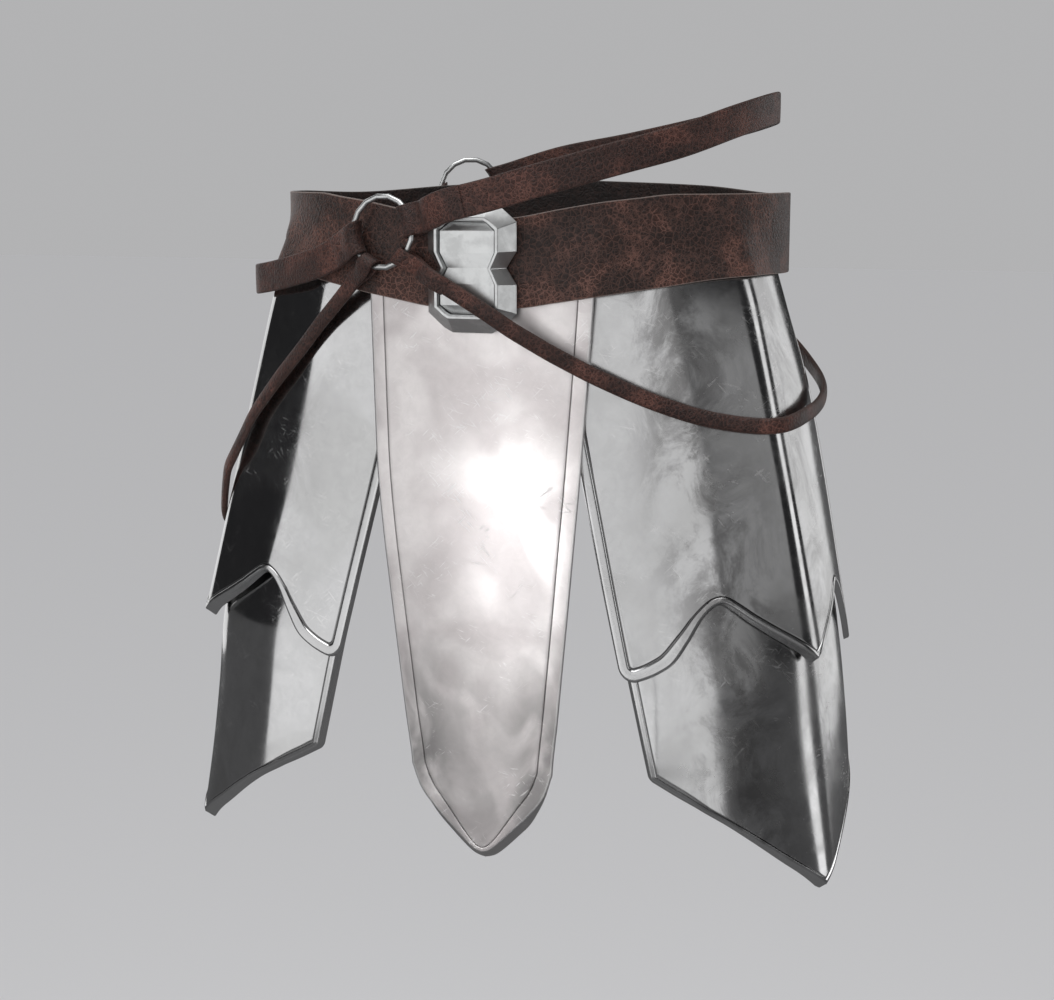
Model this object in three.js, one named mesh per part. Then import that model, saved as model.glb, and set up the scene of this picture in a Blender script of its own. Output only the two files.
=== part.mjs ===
// Waist armour: a leather belt with a figure-of-eight buckle, two rings, four leather straps,
// a long pointed front plate and a pair of ridged hip plates with smaller plates tucked inside.
// Millimetres, +Z up, the front faces -Y. The origin is on the axis of the waist at belt height.

import * as THREE from 'three';

// Belt
const BELT_HALF_WIDTH = 184;
const BELT_HALF_DEPTH = 133;
const BELT_THICKNESS = 3;
const BELT_COLUMNS = 64;
const BELT_ROWS = 5;
const BELT_CLEARANCE = 0.6;
const BELT_RELAX_HEIGHT = 24;

// Plates
const STEEL_THICKNESS = 2;
const TOP_OF_PLATES = -1;
const TOP_OF_FRONT_PLATE = 3;
const TOP_OF_LOWER_PLATES = -190;
const RIM_WIDTH = 6.5;
const RIM_HEIGHT = 0.8;
const CREASE_AT = 0.42;
const FRONT_BEND = 0.12;
const SIDE_BEND = 0.3;

// Rings
const RING_RADIUS = 23.8;
const WIRE_RADIUS = 2;
const RING_SIDES = 16;
const RING_STANDOFF = 6.8;
const FRONT_RING = { angle: -26.6, z: 7 };
const BACK_RING = { angle: -141.9, z: 32.4 };

// Straps
const WAIST_STRAP = { width: 21.5, thickness: 3, foldWidth: 21.5, foldThickness: 3 };
const THIGH_STRAP = { width: 11, thickness: 5, foldWidth: 12, foldThickness: 3 };
const FOLD_RADIUS = 4.5;
const STRAP_STEPS = 34;

// Buckle
const BUCKLE_CENTRE_Z = -14.8;
const BUCKLE_BACK_Y = -135.2;
const BUCKLE_FRONT_Y = -150;

// Heights of the belt's edges by the angle from the front, in degrees
const BELT_TOP = [
  { angle: 0, z: 15.5 },
  { angle: 13, z: 18.2 },
  { angle: 24, z: 23.2 },
  { angle: 35, z: 27.8 },
  { angle: 44, z: 30.5 },
  { angle: 53, z: 33 },
  { angle: 90, z: 33 },
  { angle: 112, z: 31.5 },
  { angle: 138, z: 36.5 },
  { angle: 180, z: 40 },
];
const BELT_BOTTOM = [
  { angle: 0, z: -43 },
  { angle: 13, z: -41.4 },
  { angle: 24, z: -37.2 },
  { angle: 34, z: -33.2 },
  { angle: 49, z: -27.6 },
  { angle: 59, z: -23.3 },
  { angle: 69, z: -21 },
  { angle: 95, z: -22.4 },
  { angle: 140, z: -19 },
  { angle: 180, z: -16 },
];

// Outer face of the front plate: half width, and how far forward its edge and its middle stand
const FRONT_PLATE = [
  { z: 10, half: 80, edge: -119, middle: -128 },
  { z: -34, half: 78.9, edge: -121.5, middle: -130.5 },
  { z: -75, half: 76.9, edge: -124, middle: -133 },
  { z: -115, half: 74.7, edge: -126.8, middle: -135.5 },
  { z: -156, half: 72.2, edge: -129.3, middle: -137 },
  { z: -197, half: 68.6, edge: -129.5, middle: -136.5 },
  { z: -240, half: 64.4, edge: -128, middle: -134.5 },
  { z: -282, half: 60.1, edge: -126.5, middle: -132 },
  { z: -324, half: 55.8, edge: -125, middle: -129.5 },
  { z: -366, half: 51.3, edge: -123.5, middle: -126.5 },
  { z: -430, half: 51.3, edge: -121.5, middle: -123 },
];
const FRONT_PLATE_TIP = [
  { x: 0, z: -424.8 },
  { x: 5, z: -423 },
  { x: 11.5, z: -417.6 },
  { x: 20.5, z: -408.7 },
  { x: 37.5, z: -391 },
  { x: 46, z: -379 },
  { x: 51.3, z: -364 },
];

// Outer face of the right hip plates at each height: the front edge, the crease of the front
// panel, the sharp ridge, the bend of the side panel and the back edge
const UPPER_PLATE = [
  { z: 10, front: [34, -114], crease: [115, -99.5], ridge: [159, -64], bend: [178, -14], back: [150, 58] },
  { z: -20, front: [41, -116.3], crease: [122, -100.5], ridge: [170.5, -70], bend: [183, -15], back: [162, 58] },
  { z: -40, front: [45.5, -117], crease: [126.3, -101.5], ridge: [176.7, -72.7], bend: [188, -16], back: [170, 57] },
  { z: -100, front: [59.4, -119.5], crease: [138.7, -100], ridge: [190.3, -77.5], bend: [204.5, -19], back: [190, 55] },
  { z: -165, front: [74.5, -123.4], crease: [151.3, -104.2], ridge: [205.4, -82.2], bend: [217, -21], back: [205, 52] },
  { z: -232, front: [90, -129.3], crease: [166.7, -115.1], ridge: [220.6, -87.9], bend: [231, -24], back: [218, 47] },
  { z: -290, front: [103.5, -133], crease: [180, -124.5], ridge: [233.5, -93.5], bend: [241.5, -27], back: [229, 41] },
];
const LOWER_PLATE = [
  { z: -190, front: [86, -120.9], crease: [156.6, -105.4], ridge: [208.2, -82.4], bend: [219.6, -22.2], back: [207.5, 46] },
  { z: -234, front: [95.7, -123.6], crease: [165, -108.5], ridge: [209.5, -80.5], bend: [223, -22], back: [213, 40] },
  { z: -276, front: [105, -126.8], crease: [175, -115.5], ridge: [219.3, -83.9], bend: [232.5, -22], back: [220, 38] },
  { z: -330, front: [117, -127.2], crease: [181, -118.5], ridge: [225.3, -82.8], bend: [240, -24], back: [226, 36] },
  { z: -381, front: [128.5, -127], crease: [184.5, -119.5], ridge: [231.9, -83.5], bend: [245, -28], back: [231, 33] },
  { z: -440, front: [141, -126.6], crease: [190, -118.5], ridge: [241, -87.3], bend: [250, -32], back: [236, 30] },
];

// Lower edges, by how far across the plate they lie: 0 at the ridge, 1 at the front or back edge
const WAVE_EDGE = [
  { across: 0, z: -273 },
  { across: 0.11, z: -262.3 },
  { across: 0.2, z: -254.3 },
  { across: 0.29, z: -245.8 },
  { across: 0.35, z: -239.3 },
  { across: 0.41, z: -234.2 },
  { across: 0.47, z: -236.5 },
  { across: 0.54, z: -245 },
  { across: 0.62, z: -259 },
  { across: 0.72, z: -274.5 },
  { across: 0.81, z: -282.2 },
  { across: 0.89, z: -286.8 },
  { across: 0.95, z: -288.8 },
  { across: 0.978, z: -287 },
  { across: 1, z: -277 },
];
const SLANTED_EDGE = [
  { across: 0, z: -433.3 },
  { across: 0.17, z: -416.5 },
  { across: 0.345, z: -400 },
  { across: 0.52, z: -386.3 },
  { across: 0.69, z: -376.3 },
  { across: 0.855, z: -366.9 },
  { across: 1, z: -357.5 },
];

// Routes of the straps between the two rings
const WAIST_RIGHT_ROUTE = [
  { x: -30.5, y: -152.6, z: 20.4 },
  { x: -22, y: -156.2, z: 23 },
  { x: -6, y: -155.4, z: 27.3 },
  { x: 10, y: -153.5, z: 31 },
  { x: 24, y: -148.8, z: 35 },
  { x: 43, y: -144, z: 40.8 },
  { x: 61, y: -137.5, z: 46 },
  { x: 96, y: -121.5, z: 56.3 },
  { x: 130, y: -98, z: 66.8 },
  { x: 158, y: -62, z: 79.8 },
  { x: 171.5, y: -26, z: 87.5 },
  { x: 173, y: 12, z: 91 },
  { x: 163, y: 50, z: 90 },
  { x: 134, y: 91, z: 84.5 },
  { x: 88, y: 122, z: 76 },
  { x: 32, y: 138.5, z: 65.5 },
  { x: -24, y: 141, z: 55.5 },
];
const WAIST_LEFT_ROUTE = [
  { x: -103.5, y: -120, z: -7 },
  { x: -123.5, y: -111.5, z: -15 },
  { x: -148, y: -98.5, z: -21.5 },
  { x: -171, y: -84, z: -26.5 },
  { x: -186, y: -73, z: -29 },
  { x: -194, y: -58, z: -30 },
  { x: -198, y: -30, z: -30 },
  { x: -200, y: 0, z: -28 },
  { x: -194, y: 36, z: -24 },
  { x: -177, y: 71, z: -17 },
  { x: -151, y: 98, z: -7 },
];
const THIGH_RIGHT_ROUTE = [
  { x: -20, y: -157, z: -21.6 },
  { x: -8.6, y: -157, z: -28 },
  { x: 5, y: -155.4, z: -36.4 },
  { x: 18.1, y: -153.6, z: -44.8 },
  { x: 30.5, y: -150.3, z: -53.5 },
  { x: 43, y: -145.8, z: -61.6 },
  { x: 55, y: -141.2, z: -69.2 },
  { x: 67.3, y: -136.2, z: -76.4 },
  { x: 79.5, y: -131.2, z: -83.3 },
  { x: 91.7, y: -126.2, z: -89.6 },
  { x: 104, y: -121.2, z: -95.6 },
  { x: 116.3, y: -116.2, z: -101.1 },
  { x: 128.7, y: -111.1, z: -106 },
  { x: 141, y: -106.1, z: -110.4 },
  { x: 153.4, y: -101, z: -113.9 },
  { x: 165.8, y: -96, z: -116.4 },
  { x: 178.2, y: -91.8, z: -118 },
  { x: 188.5, y: -88.5, z: -118.6 },
  { x: 198.5, y: -82.5, z: -118 },
  { x: 204.8, y: -70, z: -116.5 },
  { x: 209, y: -50, z: -114.5 },
  { x: 211.5, y: -28, z: -112.5 },
  { x: 211.5, y: 0, z: -109 },
  { x: 206.5, y: 32, z: -104.5 },
  { x: 194, y: 66, z: -96 },
  { x: 168, y: 97, z: -76 },
  { x: 122, y: 121, z: -48 },
  { x: 62, y: 135, z: -22 },
  { x: -8, y: 140, z: 2 },
  { x: -52, y: 136, z: 17 },
];
const THIGH_LEFT_ROUTE = [
  { x: -87, y: -126, z: -23.5 },
  { x: -98.5, y: -120.4, z: -34.2 },
  { x: -110.5, y: -114.8, z: -45.5 },
  { x: -122.5, y: -109.8, z: -57 },
  { x: -135.5, y: -105.2, z: -71 },
  { x: -149.2, y: -100.4, z: -85 },
  { x: -162.8, y: -95.6, z: -99 },
  { x: -175.2, y: -91.9, z: -113.1 },
  { x: -186.4, y: -89.9, z: -127.3 },
  { x: -194, y: -89.8, z: -141.1 },
  { x: -201.6, y: -88.9, z: -154.5 },
  { x: -209, y: -85.3, z: -166 },
  { x: -214.2, y: -79.5, z: -178 },
  { x: -219.5, y: -72, z: -191.5 },
  { x: -225.5, y: -61, z: -203.5 },
  { x: -232.5, y: -40, z: -212.5 },
  { x: -235, y: -12, z: -211 },
  { x: -230, y: 24, z: -196 },
  { x: -216, y: 60, z: -166 },
  { x: -196, y: 84, z: -124 },
  { x: -170, y: 101, z: -76 },
  { x: -142, y: 116, z: -30 },
];

const LEATHER = { color: 0x3a211b, roughness: 0.62, metalness: 0 };
const STEEL = { color: 0xb9b8ba, roughness: 0.22, metalness: 1 };
const BRIGHT_STEEL = { color: 0xd2d1ce, roughness: 0.35, metalness: 0.9 };

const group = new THREE.Group();

const radians = (degrees) => (degrees * Math.PI) / 180;
const clamp01 = (value) => Math.min(1, Math.max(0, value));
const smooth = (value) => clamp01(value) ** 2 * (3 - 2 * clamp01(value));
const vec = (x, y, z) => new THREE.Vector3(x, y, z);

/** Reads column `value` of a table by column `key`, with a smooth curve through its rows. */
function readTable(table, key, value, at) {
  const rows = table[0][key] < table.at(-1)[key] ? table : [...table].reverse();
  const position = Math.min(rows.at(-1)[key], Math.max(rows[0][key], at));
  let i = 0;
  while (i < rows.length - 2 && position > rows[i + 1][key]) {
    i += 1;
  }
  const slope = (k) => {
    const a = rows[Math.max(0, k - 1)];
    const b = rows[Math.min(rows.length - 1, k + 1)];
    return (b[value] - a[value]) / (b[key] - a[key]);
  };
  const span = rows[i + 1][key] - rows[i][key];
  const t = (position - rows[i][key]) / span;
  const from = rows[i][value];
  const to = rows[i + 1][value];
  const chord = to - from;
  const limit = (s) => Math.sign(s) * Math.min(Math.abs(s * span), 3 * Math.abs(chord));
  const s0 = limit(slope(i));
  const s1 = limit(slope(i + 1));
  return from + t * s0 + t * t * (3 * chord - 2 * s0 - s1) + t * t * t * (s0 + s1 - 2 * chord);
}

/** Adds a named mesh made of the given points and triangles, with its faces pointing out. */
function addMesh(name, points, triangles, material) {
  let volume = 0;
  for (const [a, b, c] of triangles) {
    volume += points[a].dot(points[b].clone().cross(points[c]));
  }
  const index = volume > 0 ? triangles.flat() : triangles.map(([a, b, c]) => [a, c, b]).flat();
  const geometry = new THREE.BufferGeometry();
  geometry.setAttribute('position', new THREE.Float32BufferAttribute(points.flatMap((p) => p.toArray()), 3));
  geometry.setIndex(index);
  geometry.computeVertexNormals();
  const mesh = new THREE.Mesh(geometry, new THREE.MeshStandardMaterial(material));
  mesh.name = name;
  group.add(mesh);
  return mesh;
}

/** Joins loops of equal length into one skin. It closes on itself, or gets flat ends. */
function skin(loops, closed) {
  const size = loops[0].length;
  const points = loops.flat();
  const triangles = [];
  const spans = closed ? loops.length : loops.length - 1;
  for (let i = 0; i < spans; i += 1) {
    const a = i * size;
    const b = ((i + 1) % loops.length) * size;
    for (let j = 0; j < size; j += 1) {
      const k = (j + 1) % size;
      triangles.push([a + j, b + j, b + k], [a + j, b + k, a + k]);
    }
  }
  if (!closed) {
    const last = (loops.length - 1) * size;
    for (let j = 1; j < size - 1; j += 1) {
      triangles.push([0, j, j + 1], [last, last + j + 1, last + j]);
    }
  }
  return [points, triangles];
}

/** A point between two plan positions [x, y]. */
const between = (a, b, t) => [a[0] + (b[0] - a[0]) * t, a[1] + (b[1] - a[1]) * t];

/** Plan position on a line from start over a rounded corner to the end. */
function bentLine(start, corner, end, t, at, bend) {
  if (t < at - bend) {
    return between(start, corner, t / at);
  }
  if (t > at + bend) {
    return between(corner, end, (t - at) / (1 - at));
  }
  const s = (t - at + bend) / (2 * bend);
  const a = between(start, corner, (at - bend) / at);
  const b = between(corner, end, bend / (1 - at));
  return between(between(a, corner, s), between(corner, b, s), s);
}

/** Outer face of a hip plate: across runs from -1 (front edge) over 0 (ridge) to 1 (back edge). */
function hipSurface(table, across, z) {
  const rows = table.map((row) => ({
    z: row.z,
    front0: row.front[0],
    front1: row.front[1],
    crease0: row.crease[0],
    crease1: row.crease[1],
    ridge0: row.ridge[0],
    ridge1: row.ridge[1],
    bend0: row.bend[0],
    bend1: row.bend[1],
    back0: row.back[0],
    back1: row.back[1],
  }));
  const at = (name) => [readTable(rows, 'z', `${name}0`, z), readTable(rows, 'z', `${name}1`, z)];
  const plan = across < 0
    ? bentLine(at('ridge'), at('crease'), at('front'), -across, CREASE_AT, FRONT_BEND)
    : bentLine(at('ridge'), at('bend'), at('back'), across, CREASE_AT, SIDE_BEND);
  return vec(plan[0], plan[1], z);
}

/** Outer face of the front plate: across runs from -1 to 1. */
function frontSurface(across, z) {
  const half = readTable(FRONT_PLATE, 'z', 'half', z);
  const edge = readTable(FRONT_PLATE, 'z', 'edge', z);
  const middle = readTable(FRONT_PLATE, 'z', 'middle', z);
  return vec(across * half, middle + (edge - middle) * across * across, z);
}

/**
 * A sheet-metal plate with a raised rim and a turned-in, slanted edge.
 * columns: positions across; rows: shares of the height; flange: depth and spread along the edge.
 */
function sheetPlate(plate) {
  const { surface, top, bottom, columns, rows, flange } = plate;
  const n = columns.length;
  const m = rows.length;
  const base = columns.map((across) => {
    const low = bottom(across);
    const rimRows = [2 * (RIM_WIDTH / 2.1), RIM_WIDTH / 2.1, 0].map((up) => low + up);
    const heights = rows.map((share) => top + (rimRows[0] - top) * share);
    return [...heights, rimRows[1], rimRows[2]].map((z) => surface(across, z));
  });
  const count = m + 2;
  const normals = base.map((column, i) => column.map((point, j) => {
    const left = base[Math.max(0, i - 1)][j];
    const right = base[Math.min(n - 1, i + 1)][j];
    const up = column[Math.max(0, j - 1)];
    const down = column[Math.min(count - 1, j + 1)];
    const normal = right.clone().sub(left).cross(down.clone().sub(up)).normalize();
    const outward = vec(point.x, point.y, 0);
    return normal.dot(outward) < 0 ? normal.negate() : normal;
  }));
  const raised = (i, j) => (i === 1 || i === n - 2 || j === count - 2) && j < count - 1 && i > 0 && i < n - 1;
  const outer = base.map((column, i) => column.map((point, j) => (
    raised(i, j) ? point.clone().addScaledVector(normals[i][j], RIM_HEIGHT) : point.clone()
  )));

  const loop = [];
  for (let i = 0; i < n; i += 1) {
    loop.push([i, 0]);
  }
  for (let j = 1; j < count; j += 1) {
    loop.push([n - 1, j]);
  }
  for (let i = n - 2; i >= 0; i -= 1) {
    loop.push([i, count - 1]);
  }
  for (let j = count - 2; j > 0; j -= 1) {
    loop.push([0, j]);
  }
  const edge = loop.map(([i, j], k) => {
    const point = outer[i][j];
    const before = loop[(k + loop.length - 1) % loop.length];
    const after = loop[(k + 1) % loop.length];
    const along = outer[after[0]][after[1]].clone().sub(outer[before[0]][before[1]]);
    const normal = normals[i][j];
    const side = normal.clone().cross(along).normalize();
    const inner = outer[Math.min(n - 2, Math.max(1, i))][Math.min(count - 2, Math.max(1, j))];
    if (side.dot(point.clone().sub(inner)) < 0) {
      side.negate();
    }
    const { depth, spread } = flange(columns[i], point.z, { isTop: j === 0, isSide: j < count - 1 });
    const tip = point.clone().addScaledVector(normal, -depth).addScaledVector(side, spread);
    const tipInner = tip.clone().addScaledVector(side, -1.7);
    const root = point.clone().addScaledVector(normal, -STEEL_THICKNESS).addScaledVector(side, -1.2);
    return { i, j, tip, tipInner, root };
  });

  const points = outer.flat();
  const at = (i, j) => i * count + j;
  const innerAt = base.map((column, i) => column.map((point, j) => {
    const onEdge = edge.find((e) => e.i === i && e.j === j);
    points.push(onEdge ? onEdge.root : point.clone().addScaledVector(normals[i][j], -STEEL_THICKNESS));
    return points.length - 1;
  }));
  const triangles = [];
  for (let i = 0; i < n - 1; i += 1) {
    for (let j = 0; j < count - 1; j += 1) {
      triangles.push([at(i, j), at(i, j + 1), at(i + 1, j + 1)], [at(i, j), at(i + 1, j + 1), at(i + 1, j)]);
      const [a, b, c, d] = [innerAt[i][j], innerAt[i][j + 1], innerAt[i + 1][j + 1], innerAt[i + 1][j]];
      triangles.push([a, c, b], [a, d, c]);
    }
  }
  const tips = edge.map((e) => points.push(e.tip) - 1);
  const tipInners = edge.map((e) => points.push(e.tipInner) - 1);
  const outerLoop = edge.map((e) => at(e.i, e.j));
  const rootLoop = edge.map((e) => innerAt[e.i][e.j]);
  const strips = [[outerLoop, tips], [tips, tipInners], [tipInners, rootLoop]];
  for (const [from, to] of strips) {
    for (let k = 0; k < edge.length; k += 1) {
      const next = (k + 1) % edge.length;
      triangles.push([from[k], from[next], to[next]], [from[k], to[next], to[k]]);
    }
  }
  return [points, triangles];
}

const mirrored = (points) => points.map((p) => vec(-p.x, p.y, p.z));

// Plates
const rimShare = RIM_WIDTH / 138;
const rimColumns = (inner) => {
  const outerSide = [-1, -1 + rimShare * 0.48, -1 + rimShare];
  return [...outerSide, ...inner, ...outerSide.map((value) => -value).reverse()];
};
const waveColumns = rimColumns([
  -0.88, -0.8, -0.71, -0.62, -0.54, -0.47, -0.41, -0.34, -0.24, -0.12, 0,
  0.12, 0.24, 0.34, 0.41, 0.47, 0.54, 0.62, 0.71, 0.8, 0.88,
]);
const edgeFlange = (ridgeDepth, sideDepth, ridgeSpread, sideSpread) => (across, z, { isTop }) => {
  const share = smooth(1 - Math.abs(across) / 0.55);
  return isTop
    ? { depth: 2.6, spread: 0.1 }
    : {
      depth: sideDepth + (ridgeDepth - sideDepth) * share,
      spread: sideSpread + (ridgeSpread - sideSpread) * share,
    };
};
const [upperPoints, upperTriangles] = sheetPlate({
  surface: (across, z) => hipSurface(UPPER_PLATE, across, z),
  top: TOP_OF_PLATES,
  bottom: (across) => readTable(WAVE_EDGE, 'across', 'z', Math.abs(across)),
  columns: waveColumns,
  rows: [0, 0.16, 0.36, 0.56, 0.76, 0.9, 1],
  flange: edgeFlange(8, 3.6, 3.5, 1.2),
});
const [lowerPoints, lowerTriangles] = sheetPlate({
  surface: (across, z) => hipSurface(LOWER_PLATE, across, z),
  top: TOP_OF_LOWER_PLATES,
  bottom: (across) => readTable(SLANTED_EDGE, 'across', 'z', Math.abs(across)),
  columns: rimColumns([-0.8, -0.62, -0.52, -0.42, -0.32, -0.16, 0, 0.16, 0.32, 0.42, 0.52, 0.65, 0.8]),
  rows: [0, 0.25, 0.5, 0.75, 1],
  flange: edgeFlange(8, 6, 4, 3),
});
const [frontPoints, frontTriangles] = sheetPlate({
  surface: frontSurface,
  top: TOP_OF_FRONT_PLATE,
  bottom: (across) => readTable(FRONT_PLATE_TIP, 'x', 'z', Math.abs(across) * 51.3),
  columns: [-1, -0.955, -0.905, -0.8, -0.62, -0.4, -0.2, -0.08, 0, 0.08, 0.2, 0.4, 0.62, 0.8, 0.905, 0.955, 1],
  rows: [0, 0.1, 0.2, 0.3, 0.4, 0.5, 0.6, 0.7, 0.8, 0.9, 1],
  flange: (across, z, { isTop, isSide }) => {
    if (isTop) {
      return { depth: 2.6, spread: 0.1 };
    }
    const share = isSide ? 0 : smooth((1 - Math.abs(across)) / 0.5);
    return { depth: 3 + 5 * share, spread: 0.2 + 6.3 * share };
  },
});
addMesh('front_plate', frontPoints, frontTriangles, STEEL);
addMesh('right_upper_tasset', upperPoints, upperTriangles, STEEL);
addMesh('left_upper_tasset', mirrored(upperPoints), upperTriangles, STEEL);
addMesh('right_lower_tasset', lowerPoints, lowerTriangles, STEEL);
addMesh('left_lower_tasset', mirrored(lowerPoints), lowerTriangles, STEEL);

/** Convex outline of plan positions [x, y]. */
function convexOutline(positions) {
  const sorted = [...positions].sort((a, b) => a[0] - b[0] || a[1] - b[1]);
  const half = (list) => {
    const chain = [];
    for (const p of list) {
      while (chain.length > 1) {
        const [a, b] = chain.slice(-2);
        const turn = (b[0] - a[0]) * (p[1] - a[1]) - (b[1] - a[1]) * (p[0] - a[0]);
        if (turn > 0) {
          break;
        }
        chain.pop();
      }
      chain.push(p);
    }
    return chain.slice(0, -1);
  };
  return [...half(sorted), ...half(sorted.reverse())];
}

/** Inner outline of the belt at a height: the waist, pushed out where the plates press on it. */
function waistOutline(z) {
  const positions = [];
  for (let k = 0; k < 72; k += 1) {
    const angle = radians(k * 5);
    positions.push([
      (BELT_HALF_WIDTH - BELT_THICKNESS) * Math.sin(angle),
      -(BELT_HALF_DEPTH - BELT_THICKNESS) * Math.cos(angle),
    ]);
  }
  const press = (point, top) => {
    const fade = smooth((z - top) / BELT_RELAX_HEIGHT);
    const waist = 1 / Math.hypot(point.x / (BELT_HALF_WIDTH - 3), point.y / (BELT_HALF_DEPTH - 3));
    const grow = 1 + (BELT_CLEARANCE + RIM_HEIGHT) / Math.hypot(point.x, point.y);
    const scale = grow + (Math.min(grow, waist) - grow) * fade;
    return [point.x * scale, point.y * scale];
  };
  for (let across = -1; across <= 1.001; across += 0.04) {
    const hip = hipSurface(UPPER_PLATE, across, Math.min(z, TOP_OF_PLATES));
    const [x, y] = press(hip, TOP_OF_PLATES);
    positions.push([x, y], [-x, y]);
    positions.push(press(frontSurface(across, Math.min(z, TOP_OF_FRONT_PLATE)), TOP_OF_FRONT_PLATE));
  }
  return convexOutline(positions);
}

/** Distance from the waist's axis to the belt's inner face, at an angle from the front. */
function waistRadius(outline, angle) {
  const direction = [Math.sin(angle), -Math.cos(angle)];
  for (let k = 0; k < outline.length; k += 1) {
    const a = outline[k];
    const b = outline[(k + 1) % outline.length];
    const side = (p) => direction[0] * p[1] - direction[1] * p[0];
    const [sa, sb] = [side(a), side(b)];
    const t = sa / (sa - sb);
    if (sa * sb <= 0 && sa !== sb) {
      const hit = between(a, b, t);
      const reach = hit[0] * direction[0] + hit[1] * direction[1];
      if (reach > 0) {
        return reach;
      }
    }
  }
  throw new Error('the waist outline does not reach round the axis');
}

const beltPoint = (degrees, z, out) => {
  const angle = radians(degrees);
  const radius = waistRadius(waistOutline(z), angle) + out;
  return vec(radius * Math.sin(angle), -radius * Math.cos(angle), z);
};
const beltLoops = [];
for (let k = 0; k < BELT_COLUMNS; k += 1) {
  const degrees = (360 * k) / BELT_COLUMNS;
  const fromFront = Math.min(degrees, 360 - degrees);
  const low = readTable(BELT_BOTTOM, 'angle', 'z', fromFront);
  const high = readTable(BELT_TOP, 'angle', 'z', fromFront);
  const heights = Array.from({ length: BELT_ROWS }, (_, j) => low + ((high - low) * j) / (BELT_ROWS - 1));
  beltLoops.push([
    ...heights.map((z) => beltPoint(degrees, z, BELT_THICKNESS)),
    ...heights.map((z) => beltPoint(degrees, z, 0)).reverse(),
  ]);
}
addMesh('belt', ...skin(beltLoops, true), LEATHER);

// Buckle: outlines shaped like an eight, from the back of the frame to its front
const eightOutline = (half, waist, height, straight, cut, y) => {
  const quarter = [
    [waist, 0],
    [half, straight],
    [half, height - cut * 0.95],
    [half - cut * 0.8, height - cut * 0.25],
    [half - cut * 1.25, height],
  ];
  const upper = [...quarter, ...quarter.map(([x, z]) => [-x, z]).reverse()];
  const lower = upper.slice(1, -1).map(([x, z]) => [x, -z]).reverse();
  return [...upper, ...lower].map(([x, z]) => vec(x, y, z + BUCKLE_CENTRE_Z));
};
const frameLoops = [
  eightOutline(30.4, 23.4, 42.6, 11, 13.6, BUCKLE_BACK_Y),
  eightOutline(31, 24, 43.2, 11, 13.8, -137.2),
  eightOutline(29.6, 23, 41.6, 11, 13, -139),
  eightOutline(22.6, 17.6, 33.6, 10.8, 8, -149.2),
  eightOutline(22, 17.1, 33, 10.6, 7.6, BUCKLE_FRONT_Y),
  eightOutline(20, 15.2, 31.2, 10.3, 6.6, BUCKLE_FRONT_Y),
  eightOutline(19.3, 14.4, 30.4, 10, 6.2, -147.4),
  eightOutline(19.3, 14.4, 30.4, 10, 6.2, BUCKLE_BACK_Y),
];
addMesh('buckle_frame', ...skin(frameLoops, true), BRIGHT_STEEL);
const PANEL_ROWS = [
  { up: 30, half: 11.2, y: -145 },
  { up: 28.4, half: 14, y: -145.6 },
  { up: 24.2, half: 18.9, y: -147.2 },
  { up: 10.1, half: 18.9, y: -147.6 },
  { up: 0, half: 14, y: -146.2 },
  { up: -10.1, half: 18.9, y: -147.6 },
  { up: -24.2, half: 18.9, y: -147.2 },
  { up: -28.4, half: 14, y: -145.6 },
  { up: -30, half: 11.2, y: -145 },
];
const panelLoops = PANEL_ROWS.map(({ up, half, y }) => {
  const z = BUCKLE_CENTRE_Z + up;
  return [vec(-half, -137, z), vec(-half, y, z), vec(half, y, z), vec(half, -137, z)];
});
addMesh('buckle_panel', ...skin(panelLoops, false), BRIGHT_STEEL);

/** Place of a ring on the belt: its centre, the belt's outward direction and the two in its plane. */
function ringPlace({ angle, z }) {
  const on = beltPoint(angle, z, BELT_THICKNESS);
  const before = beltPoint(angle - 9, z, BELT_THICKNESS);
  const after = beltPoint(angle + 9, z, BELT_THICKNESS);
  const along = after.sub(before).normalize();
  along.multiplyScalar(along.x < 0 ? -1 : 1);
  const up = beltPoint(angle, z + 18, 0).sub(beltPoint(angle, z - 18, 0));
  up.addScaledVector(along, -up.dot(along)).normalize();
  const out = along.clone().cross(up).normalize();
  out.multiplyScalar(out.dot(vec(on.x, on.y, 0)) < 0 ? -1 : 1);
  return { centre: on.addScaledVector(out, RING_STANDOFF), along, up, out };
}

function addRing(name, place) {
  const loops = [];
  for (let k = 0; k < RING_SIDES; k += 1) {
    const angle = (2 * Math.PI * (k + 0.5)) / RING_SIDES;
    const spoke = place.along.clone().multiplyScalar(Math.cos(angle)).addScaledVector(place.up, Math.sin(angle));
    const loop = [];
    for (let j = 0; j < 8; j += 1) {
      const turn = (Math.PI * (j + 0.5)) / 4;
      loop.push(place.centre.clone()
        .addScaledVector(spoke, RING_RADIUS + WIRE_RADIUS * Math.cos(turn))
        .addScaledVector(place.out, WIRE_RADIUS * Math.sin(turn)));
    }
    loops.push(loop);
  }
  addMesh(name, ...skin(loops, true), BRIGHT_STEEL);
}
const frontRing = ringPlace(FRONT_RING);
const backRing = ringPlace(BACK_RING);
addRing('front_ring', frontRing);
addRing('back_ring', backRing);

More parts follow.
